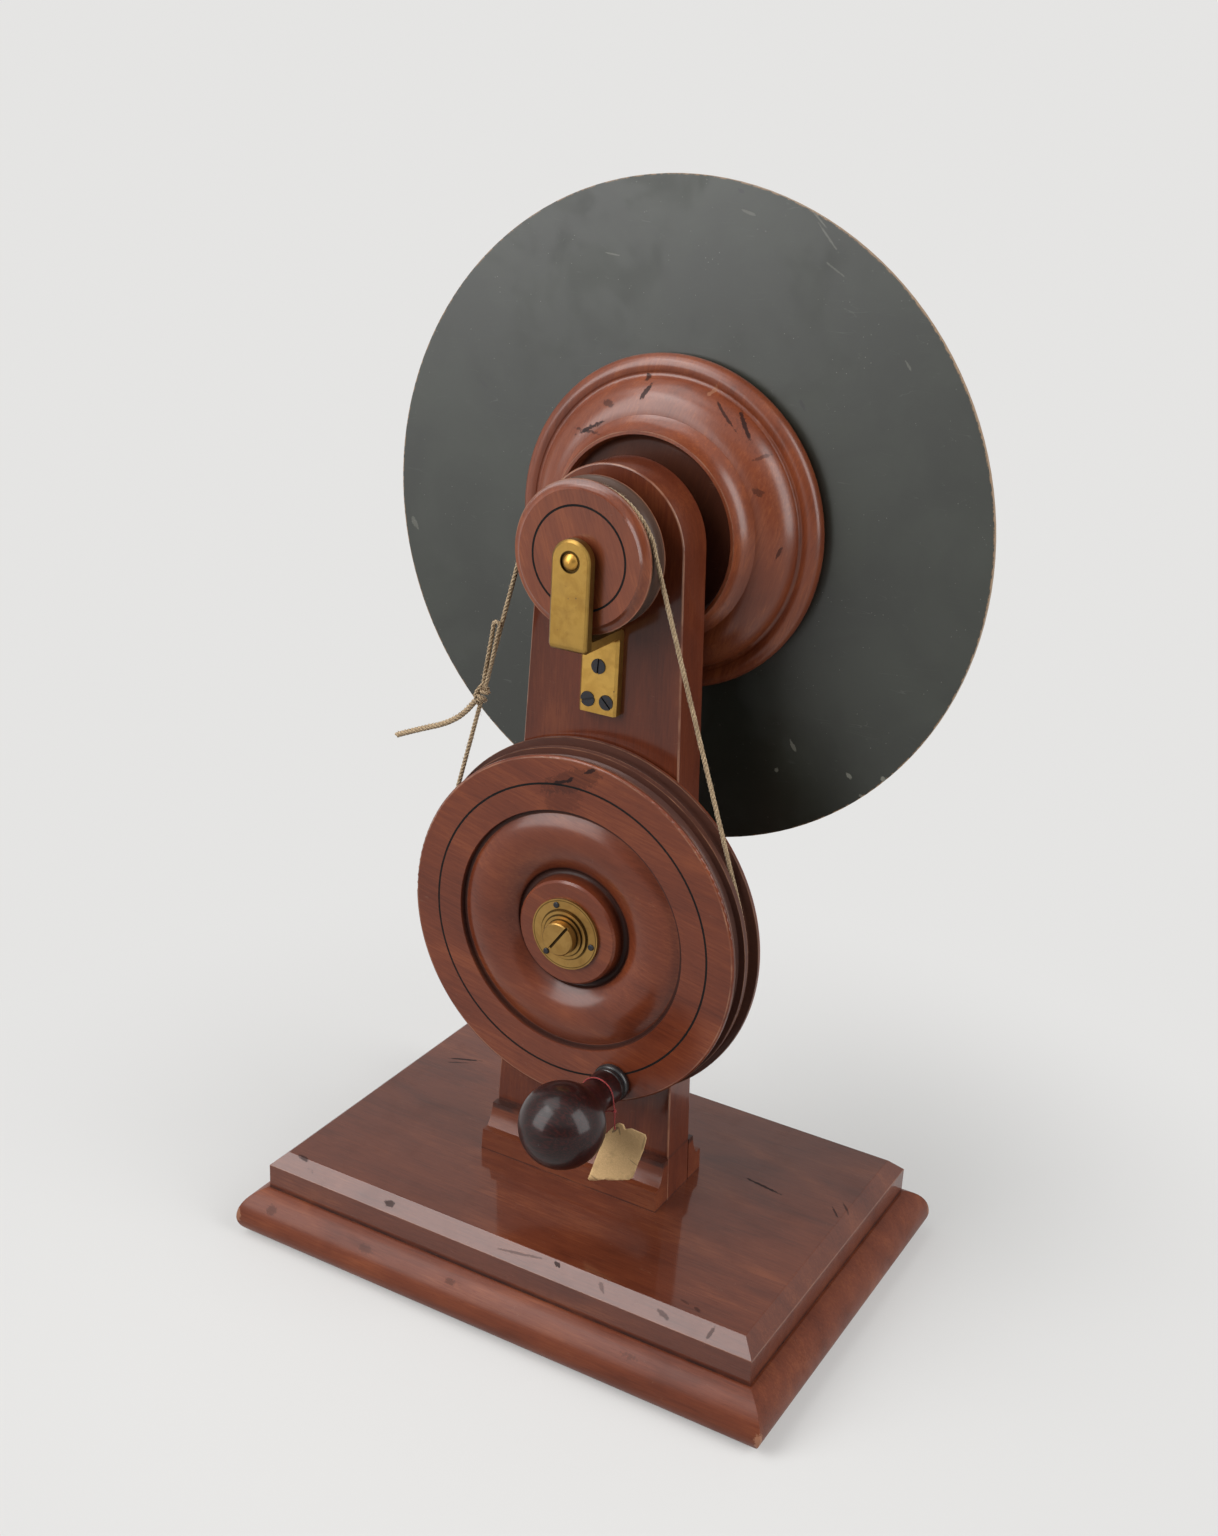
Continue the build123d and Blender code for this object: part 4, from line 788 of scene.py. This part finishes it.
def knot_frame():
    """The knot's centre on the left run, the direction up the run and the direction away to the left."""
    left = run_ends(-1)
    centre = left[1].lerp(left[2], KNOT_SHARE)
    up = (left[1] - left[2]).normalized()
    sideways = up.cross(Vector((0, 1, 0))).normalized()
    return centre, up, sideways


def beside_knot(along, left, depth):
    centre, up, sideways = knot_frame()
    return centre + (up * along + sideways * left + Vector((0, depth, 0))) * MM



def belt_points():
    """The belt's whole line: from the knot's upper end over the pulley, under the wheel and back up
    to the knot's lower end."""
    left = run_ends(-1)
    right = run_ends(1)
    over = arc_points(
        PULLEY_PITCH_RADIUS, PULLEY_BELT_Y, SPINDLE_HEIGHT, pi - RUN_SLOPE, RUN_SLOPE, forward=BELT_FORWARD
    )
    under = arc_points(WHEEL_PITCH_RADIUS, WHEEL_BELT_Y, WHEEL_HEIGHT, RUN_SLOPE, -pi - RUN_SLOPE, 128)
    start = beside_knot(KNOT_HALF_LENGTH - KNOT_OVERLAP, 0, 0)
    end = beside_knot(KNOT_OVERLAP - KNOT_HALF_LENGTH, 0, 0)
    return [start, left[1]] + over + [right[1], right[2]] + under + [left[2], end]


def loose_fibres(name, points, count, radius, reach, seed):
    """Short hairs that stand off a twine."""
    dice = random.Random(seed)
    frames = carried_frames(even_points(points, 1.0 * MM))
    lines = []
    for _ in range(count):
        index = dice.randrange(2, len(frames) - 2)
        point, side, up = frames[index]
        ahead = (frames[index + 1][0] - point).normalized()
        angle = dice.uniform(0, 2 * pi)
        away = side * cos(angle) + up * sin(angle)
        length = reach * dice.uniform(0.35, 1.0)
        lean = ahead * dice.choice((-1, 1)) * dice.uniform(0.6, 2.2)
        root = point + away * radius * 0.85
        tip = (away + lean).normalized() * length
        lines.append([root, root + tip * 0.5 + away * length * 0.12, root + tip])
    piece = tube_piece(name, lines, HAIR_RADIUS * MM, sides=0, taper=0.6)
    mark_proud(piece, [], radius)
    return piece


# Up the run, to its left and away from the camera, from the knot's centre
BOW_ROUTE = (
    (2.6, 0.6, -1.0), (12.8, 1.3, -1.5), (23.6, 2.0, -1.6), (31.8, 2.6, -1.9), (36.2, 3.0, -2.2),
    (36.7, -0.8, -2.5), (32.2, -0.5, -2.4), (24.0, -0.9, -2.2), (13.2, -1.2, -1.6), (2.8, -0.9, -1.2),
)
TAIL_START = (-5.2, 1.9, -0.6)
TUCK_ROUTE = ((-7.6, 0.7, -1.2), (-5.0, 2.0, -2.4), (-2.0, 2.5, -2.6), (1.0, 1.6, -2.2), (2.6, 1.2, -1.0))
# X, Y and Z from the knot's centre
TAIL_ROUTE = ((-9.0, 0.2, -12.4), (-19.6, -0.3, -20.4), (-36.0, -0.1, -27.0), (-48.8, 0.4, -32.9))

# Name, place, aim, width and height in metres, and power in watts
LAMPS = (
    ("Left box", (-1.00, -1.46, 1.22), (0, 0, 0.44), (1.3, 2.1), 44.0),
    ("Right box", (1.8, -0.05, 1.15), (0, 0, 0.45), (1.2, 2.0), 34.0),
    ("Overhead box", (-0.75, -0.50, 2.0), (0, 0, 0.3), (1.3, 1.3), 12.0),
)


# ---------------------------------------------------------------- steps
class DISC_OT_stage(bpy.types.Operator):
    """Sets the camera, the pale floor, the room's reflections and the soft lamps"""

    bl_idname = "disc.stage"
    bl_label = "Stage"

    def execute(self, context):
        settings = context.scene.disc_stage
        self.camera(context, settings)
        self.floor(settings)
        self.room(context, settings)
        self.lamps(context)
        context.scene.view_settings.view_transform = "Standard"
        return {"FINISHED"}

    def camera(self, context, settings):
        azimuth, elevation, roll = settings.azimuth, settings.elevation, settings.roll
        back = Vector((sin(azimuth) * cos(elevation), -cos(azimuth) * cos(elevation), sin(elevation)))
        right = (-back).cross(Vector((0, 0, 1))).normalized()
        up = right.cross(-back)
        rolled_right = right * cos(roll) + up * sin(roll)
        rolled_up = up * cos(roll) - right * sin(roll)
        camera = bpy.data.cameras.new("Camera")
        camera.lens = settings.lens
        camera.sensor_width = 36
        camera.clip_start = 0.01
        holder = bpy.data.objects.new("Camera", camera)
        turn = Matrix((rolled_right, rolled_up, back)).transposed().to_4x4()
        holder.matrix_world = Matrix.Translation(Vector(settings.target) + back * settings.distance) @ turn
        context.scene.collection.objects.link(holder)
        context.scene.camera = holder

    def floor(self, settings):
        """A floor that the camera sees as pale as the wall, and near the base in light and shadow."""
        shape = bmesh.new()
        bmesh.ops.create_grid(shape, x_segments=1, y_segments=1, size=FLOOR_HALF_WIDTH)
        mesh = bpy.data.meshes.new("Floor")
        shape.to_mesh(mesh)
        shape.free()
        material, tree, place = new_material("Studio floor")
        far = tree.remap(tree.vector_maths("LENGTH", {0: place})["Value"], 150.0, 420.0, 0.35, 1.0)
        ray = tree.put("LightPath")
        behind = tree.remap(tree.axes(place)["Y"], -6000.0, -2500.0, settings.studio, 1.0)
        seen = tree.plus(ray["Is Camera Ray"], tree.times(ray["Is Glossy Ray"], behind))
        tree.surface(
            {
                "Base Color": tree.blend(tree.minus(1.0, far), (0, 0, 0), settings.floor),
                "Emission Color": settings.backdrop,
                "Emission Strength": tree.times(seen, far),
                "Roughness": 1.0,
                "Specular IOR Level": 0.0,
            }
        )
        mesh.materials.append(material)
        new_piece("Floor", mesh)

    def room(self, context, settings):
        """Light from all round, and in reflections a room, dim at the front and bright overhead."""
        world = bpy.data.worlds.new("Studio air")
        context.scene.world = world
        world.use_nodes = True
        air = Tree(world.node_tree)
        ray = air.put("LightPath")
        way = air.axes(air.put("TexCoord")["Generated"])
        wall = air.remap(way["Y"], -0.25, 0.35, settings.studio, 1.0)
        above = air.remap(way["Z"], 0.45, 0.8, 1.0, 0.4)
        front = air.remap(way["Y"], -0.05, 0.25, 1.0, 0.0)
        overhead = air.times(air.remap(way["Z"], 0.30, 0.55, 0.0, settings.ceiling), front)
        beside = air.times(air.remap(way["X"], -0.55, -0.25, 0.9, 0.0), front)
        mirrored = air.larger(air.times(wall, above), air.larger(overhead, beside))
        seen = air.plus(ray["Is Camera Ray"], air.times(mirrored, ray["Is Glossy Ray"]))
        unseen = air.minus(1.0, air.larger(ray["Is Camera Ray"], ray["Is Glossy Ray"]))
        background = world.node_tree.nodes["Background"].inputs
        air.set(background["Color"], settings.backdrop)
        air.set(background["Strength"], air.plus(seen, air.times(unseen, settings.air)))

    def lamps(self, context):
        for name, place, aim, size, power in LAMPS:
            lamp = bpy.data.lights.new(name, "AREA")
            lamp.shape = "RECTANGLE"
            lamp.size, lamp.size_y = size
            lamp.energy = power
            holder = bpy.data.objects.new(name, lamp)
            holder.location = place
            holder.rotation_euler = (Vector(aim) - Vector(place)).to_track_quat("-Z", "Y").to_euler()
            context.scene.collection.objects.link(holder)


class DISC_OT_free_twine(bpy.types.Operator):
    """Lays the doubled loop above the knot and the stiff free end below it"""

    bl_idname = "disc.free_twine"
    bl_label = "Free twine"

    def execute(self, context):
        centre, _, _ = knot_frame()
        material = twine_material("Hemp twine", context.scene.disc_twine.colour, (0.15, 0.088, 0.040))
        bow = spline_points("bow_line", [beside_knot(*place) for place in BOW_ROUTE])
        tail_route = [beside_knot(*TAIL_START)] + [centre + Vector(place) * MM for place in TAIL_ROUTE]
        tail = spline_points("tail_line", tail_route)
        for name, line, radius, node, far_end, stiffness, phase in (
            ("twine_loop", bow, TWINE_RADIUS, "cord_bow", "object", "limp", 0.4),
            ("twine_end", tail, TAIL_RADIUS, "cord_tail", "bare", "stiff", 1.7),
        ):
            piece = laid_twine(name, line, radius * MM, phase)
            finish_piece(piece, material, "stand", "twine", node)
            hairs = loose_fibres(name + "_hairs", line, 46, TWINE_RADIUS * MM, 2.4 * MM, seed=len(name))
            finish_piece(hairs, material, "stand", "twine")
        return {"FINISHED"}


class DISC_OT_belt(bpy.types.Operator):
    """Lays the twine belt round the pulley and the drive wheel, and ties its knot"""

    bl_idname = "disc.belt"
    bl_label = "Belt"

    def execute(self, context):
        material = bpy.data.materials["Hemp twine"]
        line = belt_points()
        belt = laid_twine("twine_belt", line, 1.1 * TWINE_RADIUS * MM)
        finish_piece(belt, material, "stand", "twine", "drive_cord")
        count = context.scene.disc_twine.fuzz
        fuzz = loose_fibres("twine_belt_hairs", line, count, TWINE_RADIUS * MM, 1.9 * MM, seed=11)
        finish_piece(fuzz, material, "stand", "twine")
        self.knot(material)
        return {"FINISHED"}

    def knot(self, material):
        """A little over three wraps round the run, drawn tight, with one end tucked across them."""
        wraps = []
        for index in range(KNOT_STEPS + 1):
            share = index / KNOT_STEPS
            angle = 2 * pi * KNOT_TURNS * share
            along = KNOT_LOW + KNOT_LENGTH * share + 0.9 * sin(angle * 0.55)
            radius = KNOT_RADIUS + 0.45 * sin(angle * 1.3)
            wraps.append(beside_knot(along, radius * cos(angle), radius * sin(angle)))
        tuck = spline_points("tuck_line", [beside_knot(*place) for place in TUCK_ROUTE])
        piece = laid_twine("twine_knot", wraps, 0.95 * TWINE_RADIUS * MM)
        finish_piece(piece, material, "stand", "twine", "cord_knot")
        crossing = laid_twine("twine_knot_tuck", tuck, 0.85 * TWINE_RADIUS * MM)
        finish_piece(crossing, material, "stand", "twine")
        ravel = loose_fibres("twine_knot_hairs", wraps, 44, TWINE_RADIUS * MM, 2.0 * MM, seed=5)
        finish_piece(ravel, material, "stand", "twine")


# x and z from the handle's axis
TAG_OUTLINE = (
    (5.0, -19.7), (7.3, -16.5), (9.6, -13.4), (10.9, -12.2), (13.4, -12.3), (14.5, -14.3), (17.6, -12.8),
    (25.1, -13.2), (25.9, -15.0), (24.7, -21.9), (22.1, -31.4), (20.6, -37.4), (18.8, -39.2),
    (14.6, -40.9), (8.0, -43.4), (6.3, -43.5), (2.1, -45.6), (-1.7, -46.9), (-2.6, -46.3), (0.6, -34.7),
    (2.8, -26.5), (4.2, -20.9),
)
THREAD_ENDS = ((8.6, -2.2), (9.2, -4.2), (9.5, -5.8), (9.9, -8.0), (10.0, -10.5))


class DISC_OT_tag(bpy.types.Operator):
    """Cuts the paper tag and hangs it on its thread from the handle's neck"""

    bl_idname = "disc.tag"
    bl_label = "Tag"

    def execute(self, context):
        self.paper()
        self.thread()
        return {"FINISHED"}

    def paper(self):
        """The tag's outline, cut into a grid so that it can curl and crease."""
        low, high = (Vector(corner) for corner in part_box("paper_tag"))
        middle = (low.y + high.y) / 2
        shape = bmesh.new()
        shape.faces.new(
            [
                shape.verts.new(((CRANK_X + x) * MM, middle, (CRANK_Z + z) * MM))
                for x, z in TAG_OUTLINE
            ]
        )
        for index in range(1, TAG_CUTS):
            across = low.lerp(high, index / TAG_CUTS)
            for normal in ((1, 0, 0), (0, 0, 1)):
                whole = shape.verts[:] + shape.edges[:] + shape.faces[:]
                bmesh.ops.bisect_plane(shape, geom=whole, plane_co=across, plane_no=normal)
        for vertex in shape.verts:
            x = vertex.co.x / MM - CRANK_X
            z = vertex.co.z / MM - CRANK_Z
            curl = 0.9 * sin((z + 30) * 0.075) + 0.5 * cos((x - 12) * 0.11)
            crease = 0.45 * max(0.0, 1 - abs((z + 32) - (x - 12) * 0.25) / 2.2)
            vertex.co.y += (curl - crease) * MM
        mesh = bpy.data.meshes.new("paper_label")
        shape.to_mesh(mesh)
        shape.free()
        piece = new_piece("paper_label", mesh)
        wall = piece.modifiers.new("Card", "SOLIDIFY")
        wall.thickness = TAG_THICKNESS * MM
        wall.offset = 0
        finish_piece(piece, paper_material(), "tag", "tag_paper", "paper_tag")

    def thread(self):
        material = twine_material("Red thread", (0.36, 0.025, 0.022), (0.13, 0.008, 0.010), laid=False)
        dress(["tag_thread"], material)
        line = [Vector((CRANK_X + x, THREAD_FRONT, CRANK_Z + z)) * MM for x, z in THREAD_ENDS]
        ravel = loose_fibres("thread_ravel", line, 26, 0.3 * MM, 2.3 * MM, seed=3)
        finish_piece(ravel, material, "tag", "red_thread")


# Marks on the wood: place, half size, turn and strength, pale where the strength is negative
LOWER_SLAB_MARKS = (
    ((-18.7, -97.1, 22), (4.4, 3, 3), 0, 0.45),
    ((77.0, -97.1, 22), (6.5, 3, 2), 0, 0.35),
    ((-124.5, -98, 20), (3.4, 4, 3), 0, 0.4),
    ((-67.4, -97, 20), (4.3, 4, 2), 0, 0.35),
    ((143.6, -99.2, 9), (2.2, 2.2, 5), 0, -0.8),
    ((-143.6, -99.2, 11), (2.2, 2.2, 4), 0, -0.7),
    ((143.6, 99.2, 12), (2.2, 2.2, 4), 0, -0.5),
)
UPPER_SLAB_MARKS = (
    ((-104.6, 41.4, 44.5), (9.3, 0.85, 3), -0.44, 0.95),
    ((-105.9, 36.6, 44.5), (6.5, 0.5, 3), -0.53, 0.8),
    ((-116.5, -81.2, 44.5), (3.4, 1.3, 3), 0.10, 0.8),
    ((-108.4, -85.1, 44.0), (4.3, 1.2, 3), 0.17, 0.7),
    ((-98.8, -89.0, 42.0), (4.3, 1.3, 4), 0.49, 0.7),
    ((82.8, 25.0, 44.5), (12.5, 0.85, 3), 0.15, 0.95),
    ((121.3, 24.9, 44.5), (4.9, 0.6, 3), 0.86, 0.8),
    ((124.9, 30.4, 44.5), (5.0, 0.6, 3), 0.82, 0.7),
    ((99.7, -77.0, 44.5), (2.3, 1.0, 3), 0.49, 0.6),
    ((93.0, -75.6, 44.5), (2.9, 0.8, 3), 0.21, 0.5),
    ((-61.8, -84.5, 41), (3.1, 2.4, 1.6), 0, 0.8),
    ((13.5, -83.7, 41), (18.5, 0.5, 3), -0.11, 0.5),
    ((54.8, -83.5, 41), (3.2, 1.2, 3), 0.69, 0.45),
    ((86.8, -84.5, 41), (4.0, 1.2, 1.6), 0.29, 0.55),
    ((110.7, -84.5, 41), (1.0, 4.5, 3), 0.3, 0.6),
    ((30.5, -82.0, 42.5), (2.4, 1.4, 1.6), 0.38, 0.9),
)
WHEEL_MARKS = (
    ((-6.2, WHEEL_FRONT, 255.1), (5.2, 3, 1.0), 0.36, 0.95),
    ((-2.1, WHEEL_FRONT, 257.1), (2.8, 3, 0.9), 0.77, 0.95),
    ((7.8, WHEEL_FRONT, 263.4), (4.2, 3, 0.9), 0.5, 0.9),
    ((-15.5, WHEEL_FRONT, 252.1), (2.2, 3, 0.7), 0.34, 0.7),
    ((-1.2, WHEEL_FRONT, 256.6), (18.0, 4, 5.5), 0.42, 0.36),
    ((-4.7, WHEEL_FRONT, 247.0), (11.0, 4, 7.0), 0.54, 0.22),
)
HUB_MARKS = (
    ((-34.2, 21.5, 400.7), (11.2, 7.0, 1.3), 0.51, 0.9),
    ((-36.8, 21.8, 398.8), (8.9, 7.0, 1.0), -0.01, 0.7),
    ((-8.6, 28.7, 419.6), (4.3, 7.0, 1.3), 1.19, 0.9),
    ((-11.8, 35.6, 424.7), (2.0, 7.0, 1.3), -0.58, 0.8),
    ((-26.8, 26.6, 412.2), (3.6, 7.0, 1.6), -0.16, 0.6),
    ((30.4, 31.4, 413.7), (8.9, 7.0, 0.6), -0.74, 0.8),
    ((39.2, 33.4, 409.9), (9.3, 7.0, 0.8), -0.93, 0.9),
    ((20.6, 35.0, 422.7), (2.8, 7.0, 1.0), 1.11, -0.6),
    ((49.0, 31.0, 398.4), (3.8, 7.0, 0.9), 0.42, 0.5),
    ((61.5, 29.1, 358.9), (3.8, 7.0, 0.7), 1.23, 0.7),
    ((50.6, 22.9, 384.1), (3.6, 7.0, 2.2), -0.55, 0.55),
)
# The edges and hollows of the turned wood, as wood_material takes them: the edges pale from worn
# polish and a painted highlight, the hollows darkened by painted shade and dust
WHEEL_ARRISES = ((83.6, WHEEL_FRONT + 0.2), (85.3, -20.8), (85.3, -23.8), (84.5, -31.5), (87.8, -15.6))
# The wheel's rim grooves, the cove round its boss and a fine groove, in painted shade and dust
WHEEL_SHADED_HOLLOWS = (
    (84.0, 5.2, -23.4, 8.9, 0.5, 0.70, (0.064, 0.036, 0.030)),
    (27.9, 1.2, -31.0, 4.2, 1.4, 0.85, (0.018, 0.010, 0.009)),
    (57.8, 0.7, -32.0, 3.0, 0.6, 0.80, (0.018, 0.010, 0.009)),
)
PULLEY_ARRISES = ((33.1, -23.0), (33.4, -34.6), (33.4, -35.4))
# The pulley's belt groove, in painted shade and dust
PULLEY_SHADED_HOLLOWS = ((31.2, 2.6, -29.0, 5.6, 0.4, 0.85, (0.062, 0.043, 0.033)),)
# The hub's recessed end face, in painted shade from the upright
HUB_SHADED_HOLLOWS = ((20.0, 23.0, 21.5, 5.2, 1.0, 0.75, (0.030, 0.012, 0.008)),)
# Zones of the brass made brown, as brass_material takes them: painted shade in the pivot's recess,
# on the strap's sides, at the bush's steps and at the axle's end, and tarnish
BRACKET_SHADE_AND_TARNISH = (
    (4.4, 0.35, -44.7, 0.7, 0.3, 0.85),
    (24.0, 24.0, -43.0, 2.6, 0.4, 0.25),
    (24.0, 24.0, -42.3, 2.0, 0.3, 0.30),
)
BUSH_SHADE_AND_TARNISH = (
    (12.1, 0.25, -36.5, 0.8, 0.35, 0.8),
    (16.4, 0.10, -36.3, 0.5, 0.25, 0.7),
    (10.0, 0.20, -37.6, 0.9, 0.30, 0.8),
    (8.1, 0.10, -38.4, 0.5, 0.30, 0.8),
    (0.0, 7.25, -41.5, 1.2, 0.15, 0.95),
)


class DISC_OT_woodwork(bpy.types.Operator):
    """Polishes the base, the upright and the turned pieces"""

    bl_idname = "disc.woodwork"
    bl_label = "Woodwork"

    def execute(self, context):
        self.base_and_upright()
        self.turned_pieces()
        self.dark_pieces()
        return {"FINISHED"}

    def base_and_upright(self):
        along_x = (0, radians(90), 0)
        lower = wood_material(
            "Lower slab mahogany", along_x, (1.08, 1.05, 1.0), 0.4, 0.26,
            marks=LOWER_SLAB_MARKS, seam_light_and_shade=((0.0, 0.8, 1.2, 0.6),),
        )
        upper = wood_material(
            "Upper slab mahogany", along_x, (0.88, 0.86, 0.88), 1.25, 0.08,
            marks=UPPER_SLAB_MARKS, turn_axis=2, seam_light_and_shade=((25.0, 0.9, 1.6, 0.85), (38.0, 0.05, 0.35, -0.35)),
        )
        moulding = wood_material(
            "Moulding mahogany", along_x, polish=0.6, coat_roughness=0.26,
            seam_light_and_shade=((44.5, 0.3, 0.7, 0.7), (66.2, 1.0, 1.4, 0.8)),
        )
        upright = wood_material(
            "Upright mahogany", tint=(0.86, 0.76, 0.70), coat_roughness=0.13,
            seam_light_and_shade=((44.5, 0.3, 0.7, 0.6), (67.6, 0.3, 1.0, 0.6)), worn_and_lit_edge=upright_arris,
        )
        dress(["base_lower_slab"], lower)
        dress(["base_upper_slab"], upper)
        dress(["foot_moulding_front", "foot_moulding_rear"], moulding)
        dress(["upright"], upright)

    def turned_pieces(self):
        wheel = wood_material(
            "Wheel mahogany", (0, radians(78), 0), (1.12, 1.00, 0.88), 0.95, 0.20, WHEEL_HEIGHT,
            marks=WHEEL_MARKS, arrises=WHEEL_ARRISES, shaded_hollows=WHEEL_SHADED_HOLLOWS,
        )
        pulley = wood_material(
            "Pulley mahogany", (0, radians(20), 0), (1.40, 1.36, 1.15), 1.35, 0.20, SPINDLE_HEIGHT,
            arrises=PULLEY_ARRISES, shaded_hollows=PULLEY_SHADED_HOLLOWS,
        )
        hub = wood_material(
            "Hub mahogany", (0, radians(-15), 0), (1.42, 1.36, 1.14), 1.4, 0.26, SPINDLE_HEIGHT,
            marks=HUB_MARKS, arrises=((46.0, 15.2),), shaded_hollows=HUB_SHADED_HOLLOWS,
        )
        dress(["drive_wheel"], wheel)
        dress(["pulley"], pulley)
        dress(["hub_flange"], hub)

    def dark_pieces(self):
        for nodes, name, dark, light, *polish in (
            (
                ["wheel_inlay_ring", "pulley_inlay_ring"],
                "Black stringing", (0.0035, 0.003, 0.003), (0.007, 0.006, 0.005), 0.7, 0.0,
            ),
            (["handle_collar"], "Ebony", (0.007, 0.006, 0.007), (0.022, 0.018, 0.017), 0.4, 0.7, 0.20),
            (
                ["handle_grip"],
                "Rosewood", (0.009, 0.0022, 0.0020), (0.030, 0.0045, 0.0038), 0.4, 0.33, 0.15,
            ),
        ):
            dress(nodes, dark_wood_material(name, dark, light, *polish))


class DISC_OT_metalwork(bpy.types.Operator):
    """Ages the brass and the steel"""

    bl_idname = "disc.metalwork"
    bl_label = "Metalwork"

    def execute(self, context):
        bracket = brass_material("Bracket brass", shade_and_tarnish=BRACKET_SHADE_AND_TARNISH)
        turned = brass_material("Turned brass", (0.70, 0.69, 0.85), 0.5, WHEEL_HEIGHT, BUSH_SHADE_AND_TARNISH)
        dress(["bearing_bracket", "spindle_bush", "disc_washer", "disc_nut"], bracket)
        dress(["pulley_spacer", "thrust_washer"], bracket)
        dress(["wheel_axle", "wheel_bush"], turned)
        dress(["pivot_screw"], brass_material("Pivot brass", (1.1, 1.0, 0.85), 0.5))
        screws = ["bracket_screws", "bush_screws", "base_slab_screws", "upright_screws"]
        dress(screws, steel_material("Blued screws"))
        dress(["spindle", "handle_pin"], steel_material("Turned steel", (0.42, 0.42, 0.43), 0.3))
        return {"FINISHED"}


SECTOR_COLOURS = {
    "red": (0.72, 0.05, 0.035),
    "orange": (0.80, 0.25, 0.03),
    "yellow": (0.84, 0.66, 0.06),
    "green": (0.06, 0.42, 0.12),
    "blue": (0.05, 0.26, 0.62),
    "indigo": (0.11, 0.085, 0.38),
    "violet": (0.36, 0.10, 0.42),
}


class DISC_OT_disc(bpy.types.Operator):
    """Paints the disc's dark near face and the coloured sectors of its far face"""

    bl_idname = "disc.disc"
    bl_label = "Disc"

    def execute(self, context):
        dress(["disc_board"], disc_material())
        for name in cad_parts:
            if name.startswith("sector_"):
                colour = name.split("_")[2]
                dress([name], sector_material("Sector " + colour, SECTOR_COLOURS[colour]))
        return {"FINISHED"}


class DISC_PT_panel(bpy.types.Panel):
    """Lists the steps that dress the apparatus"""

    bl_idname = "DISC_PT_panel"
    bl_label = "Colour disc"
    bl_space_type = "VIEW_3D"
    bl_region_type = "UI"
    bl_category = "Colour Disc"

    def draw(self, context):
        for step in STEPS:
            self.layout.operator(step)
        for group in (context.scene.disc_wood, context.scene.disc_twine, context.scene.disc_stage):
            box = self.layout.box()
            for name in group.bl_rna.properties.keys():
                if name not in {"rna_type", "name"}:
                    box.prop(group, name)


STEPS = (
    "disc.stage",
    "disc.free_twine",
    "disc.belt",
    "disc.tag",
    "disc.woodwork",
    "disc.metalwork",
    "disc.disc",
)
CLASSES = (
    WoodSettings,
    TwineSettings,
    StageSettings,
    DISC_OT_stage,
    DISC_OT_free_twine,
    DISC_OT_belt,
    DISC_OT_tag,
    DISC_OT_woodwork,
    DISC_OT_metalwork,
    DISC_OT_disc,
    DISC_PT_panel,
)


def register():
    for item in CLASSES:
        bpy.utils.register_class(item)
    bpy.types.Scene.disc_wood = PointerProperty(type=WoodSettings)
    bpy.types.Scene.disc_twine = PointerProperty(type=TwineSettings)
    bpy.types.Scene.disc_stage = PointerProperty(type=StageSettings)


def unregister():
    del bpy.types.Scene.disc_wood
    del bpy.types.Scene.disc_twine
    del bpy.types.Scene.disc_stage
    for item in reversed(CLASSES):
        bpy.utils.unregister_class(item)


def main():
    register()
    for build in (build_turned_position, build_band, build_mahogany, build_handling, build_bruise):
        build()
    for step in STEPS:
        family, name = step.split(".")
        getattr(getattr(bpy.ops, family), name)()


if __name__ == "__main__":
    main()
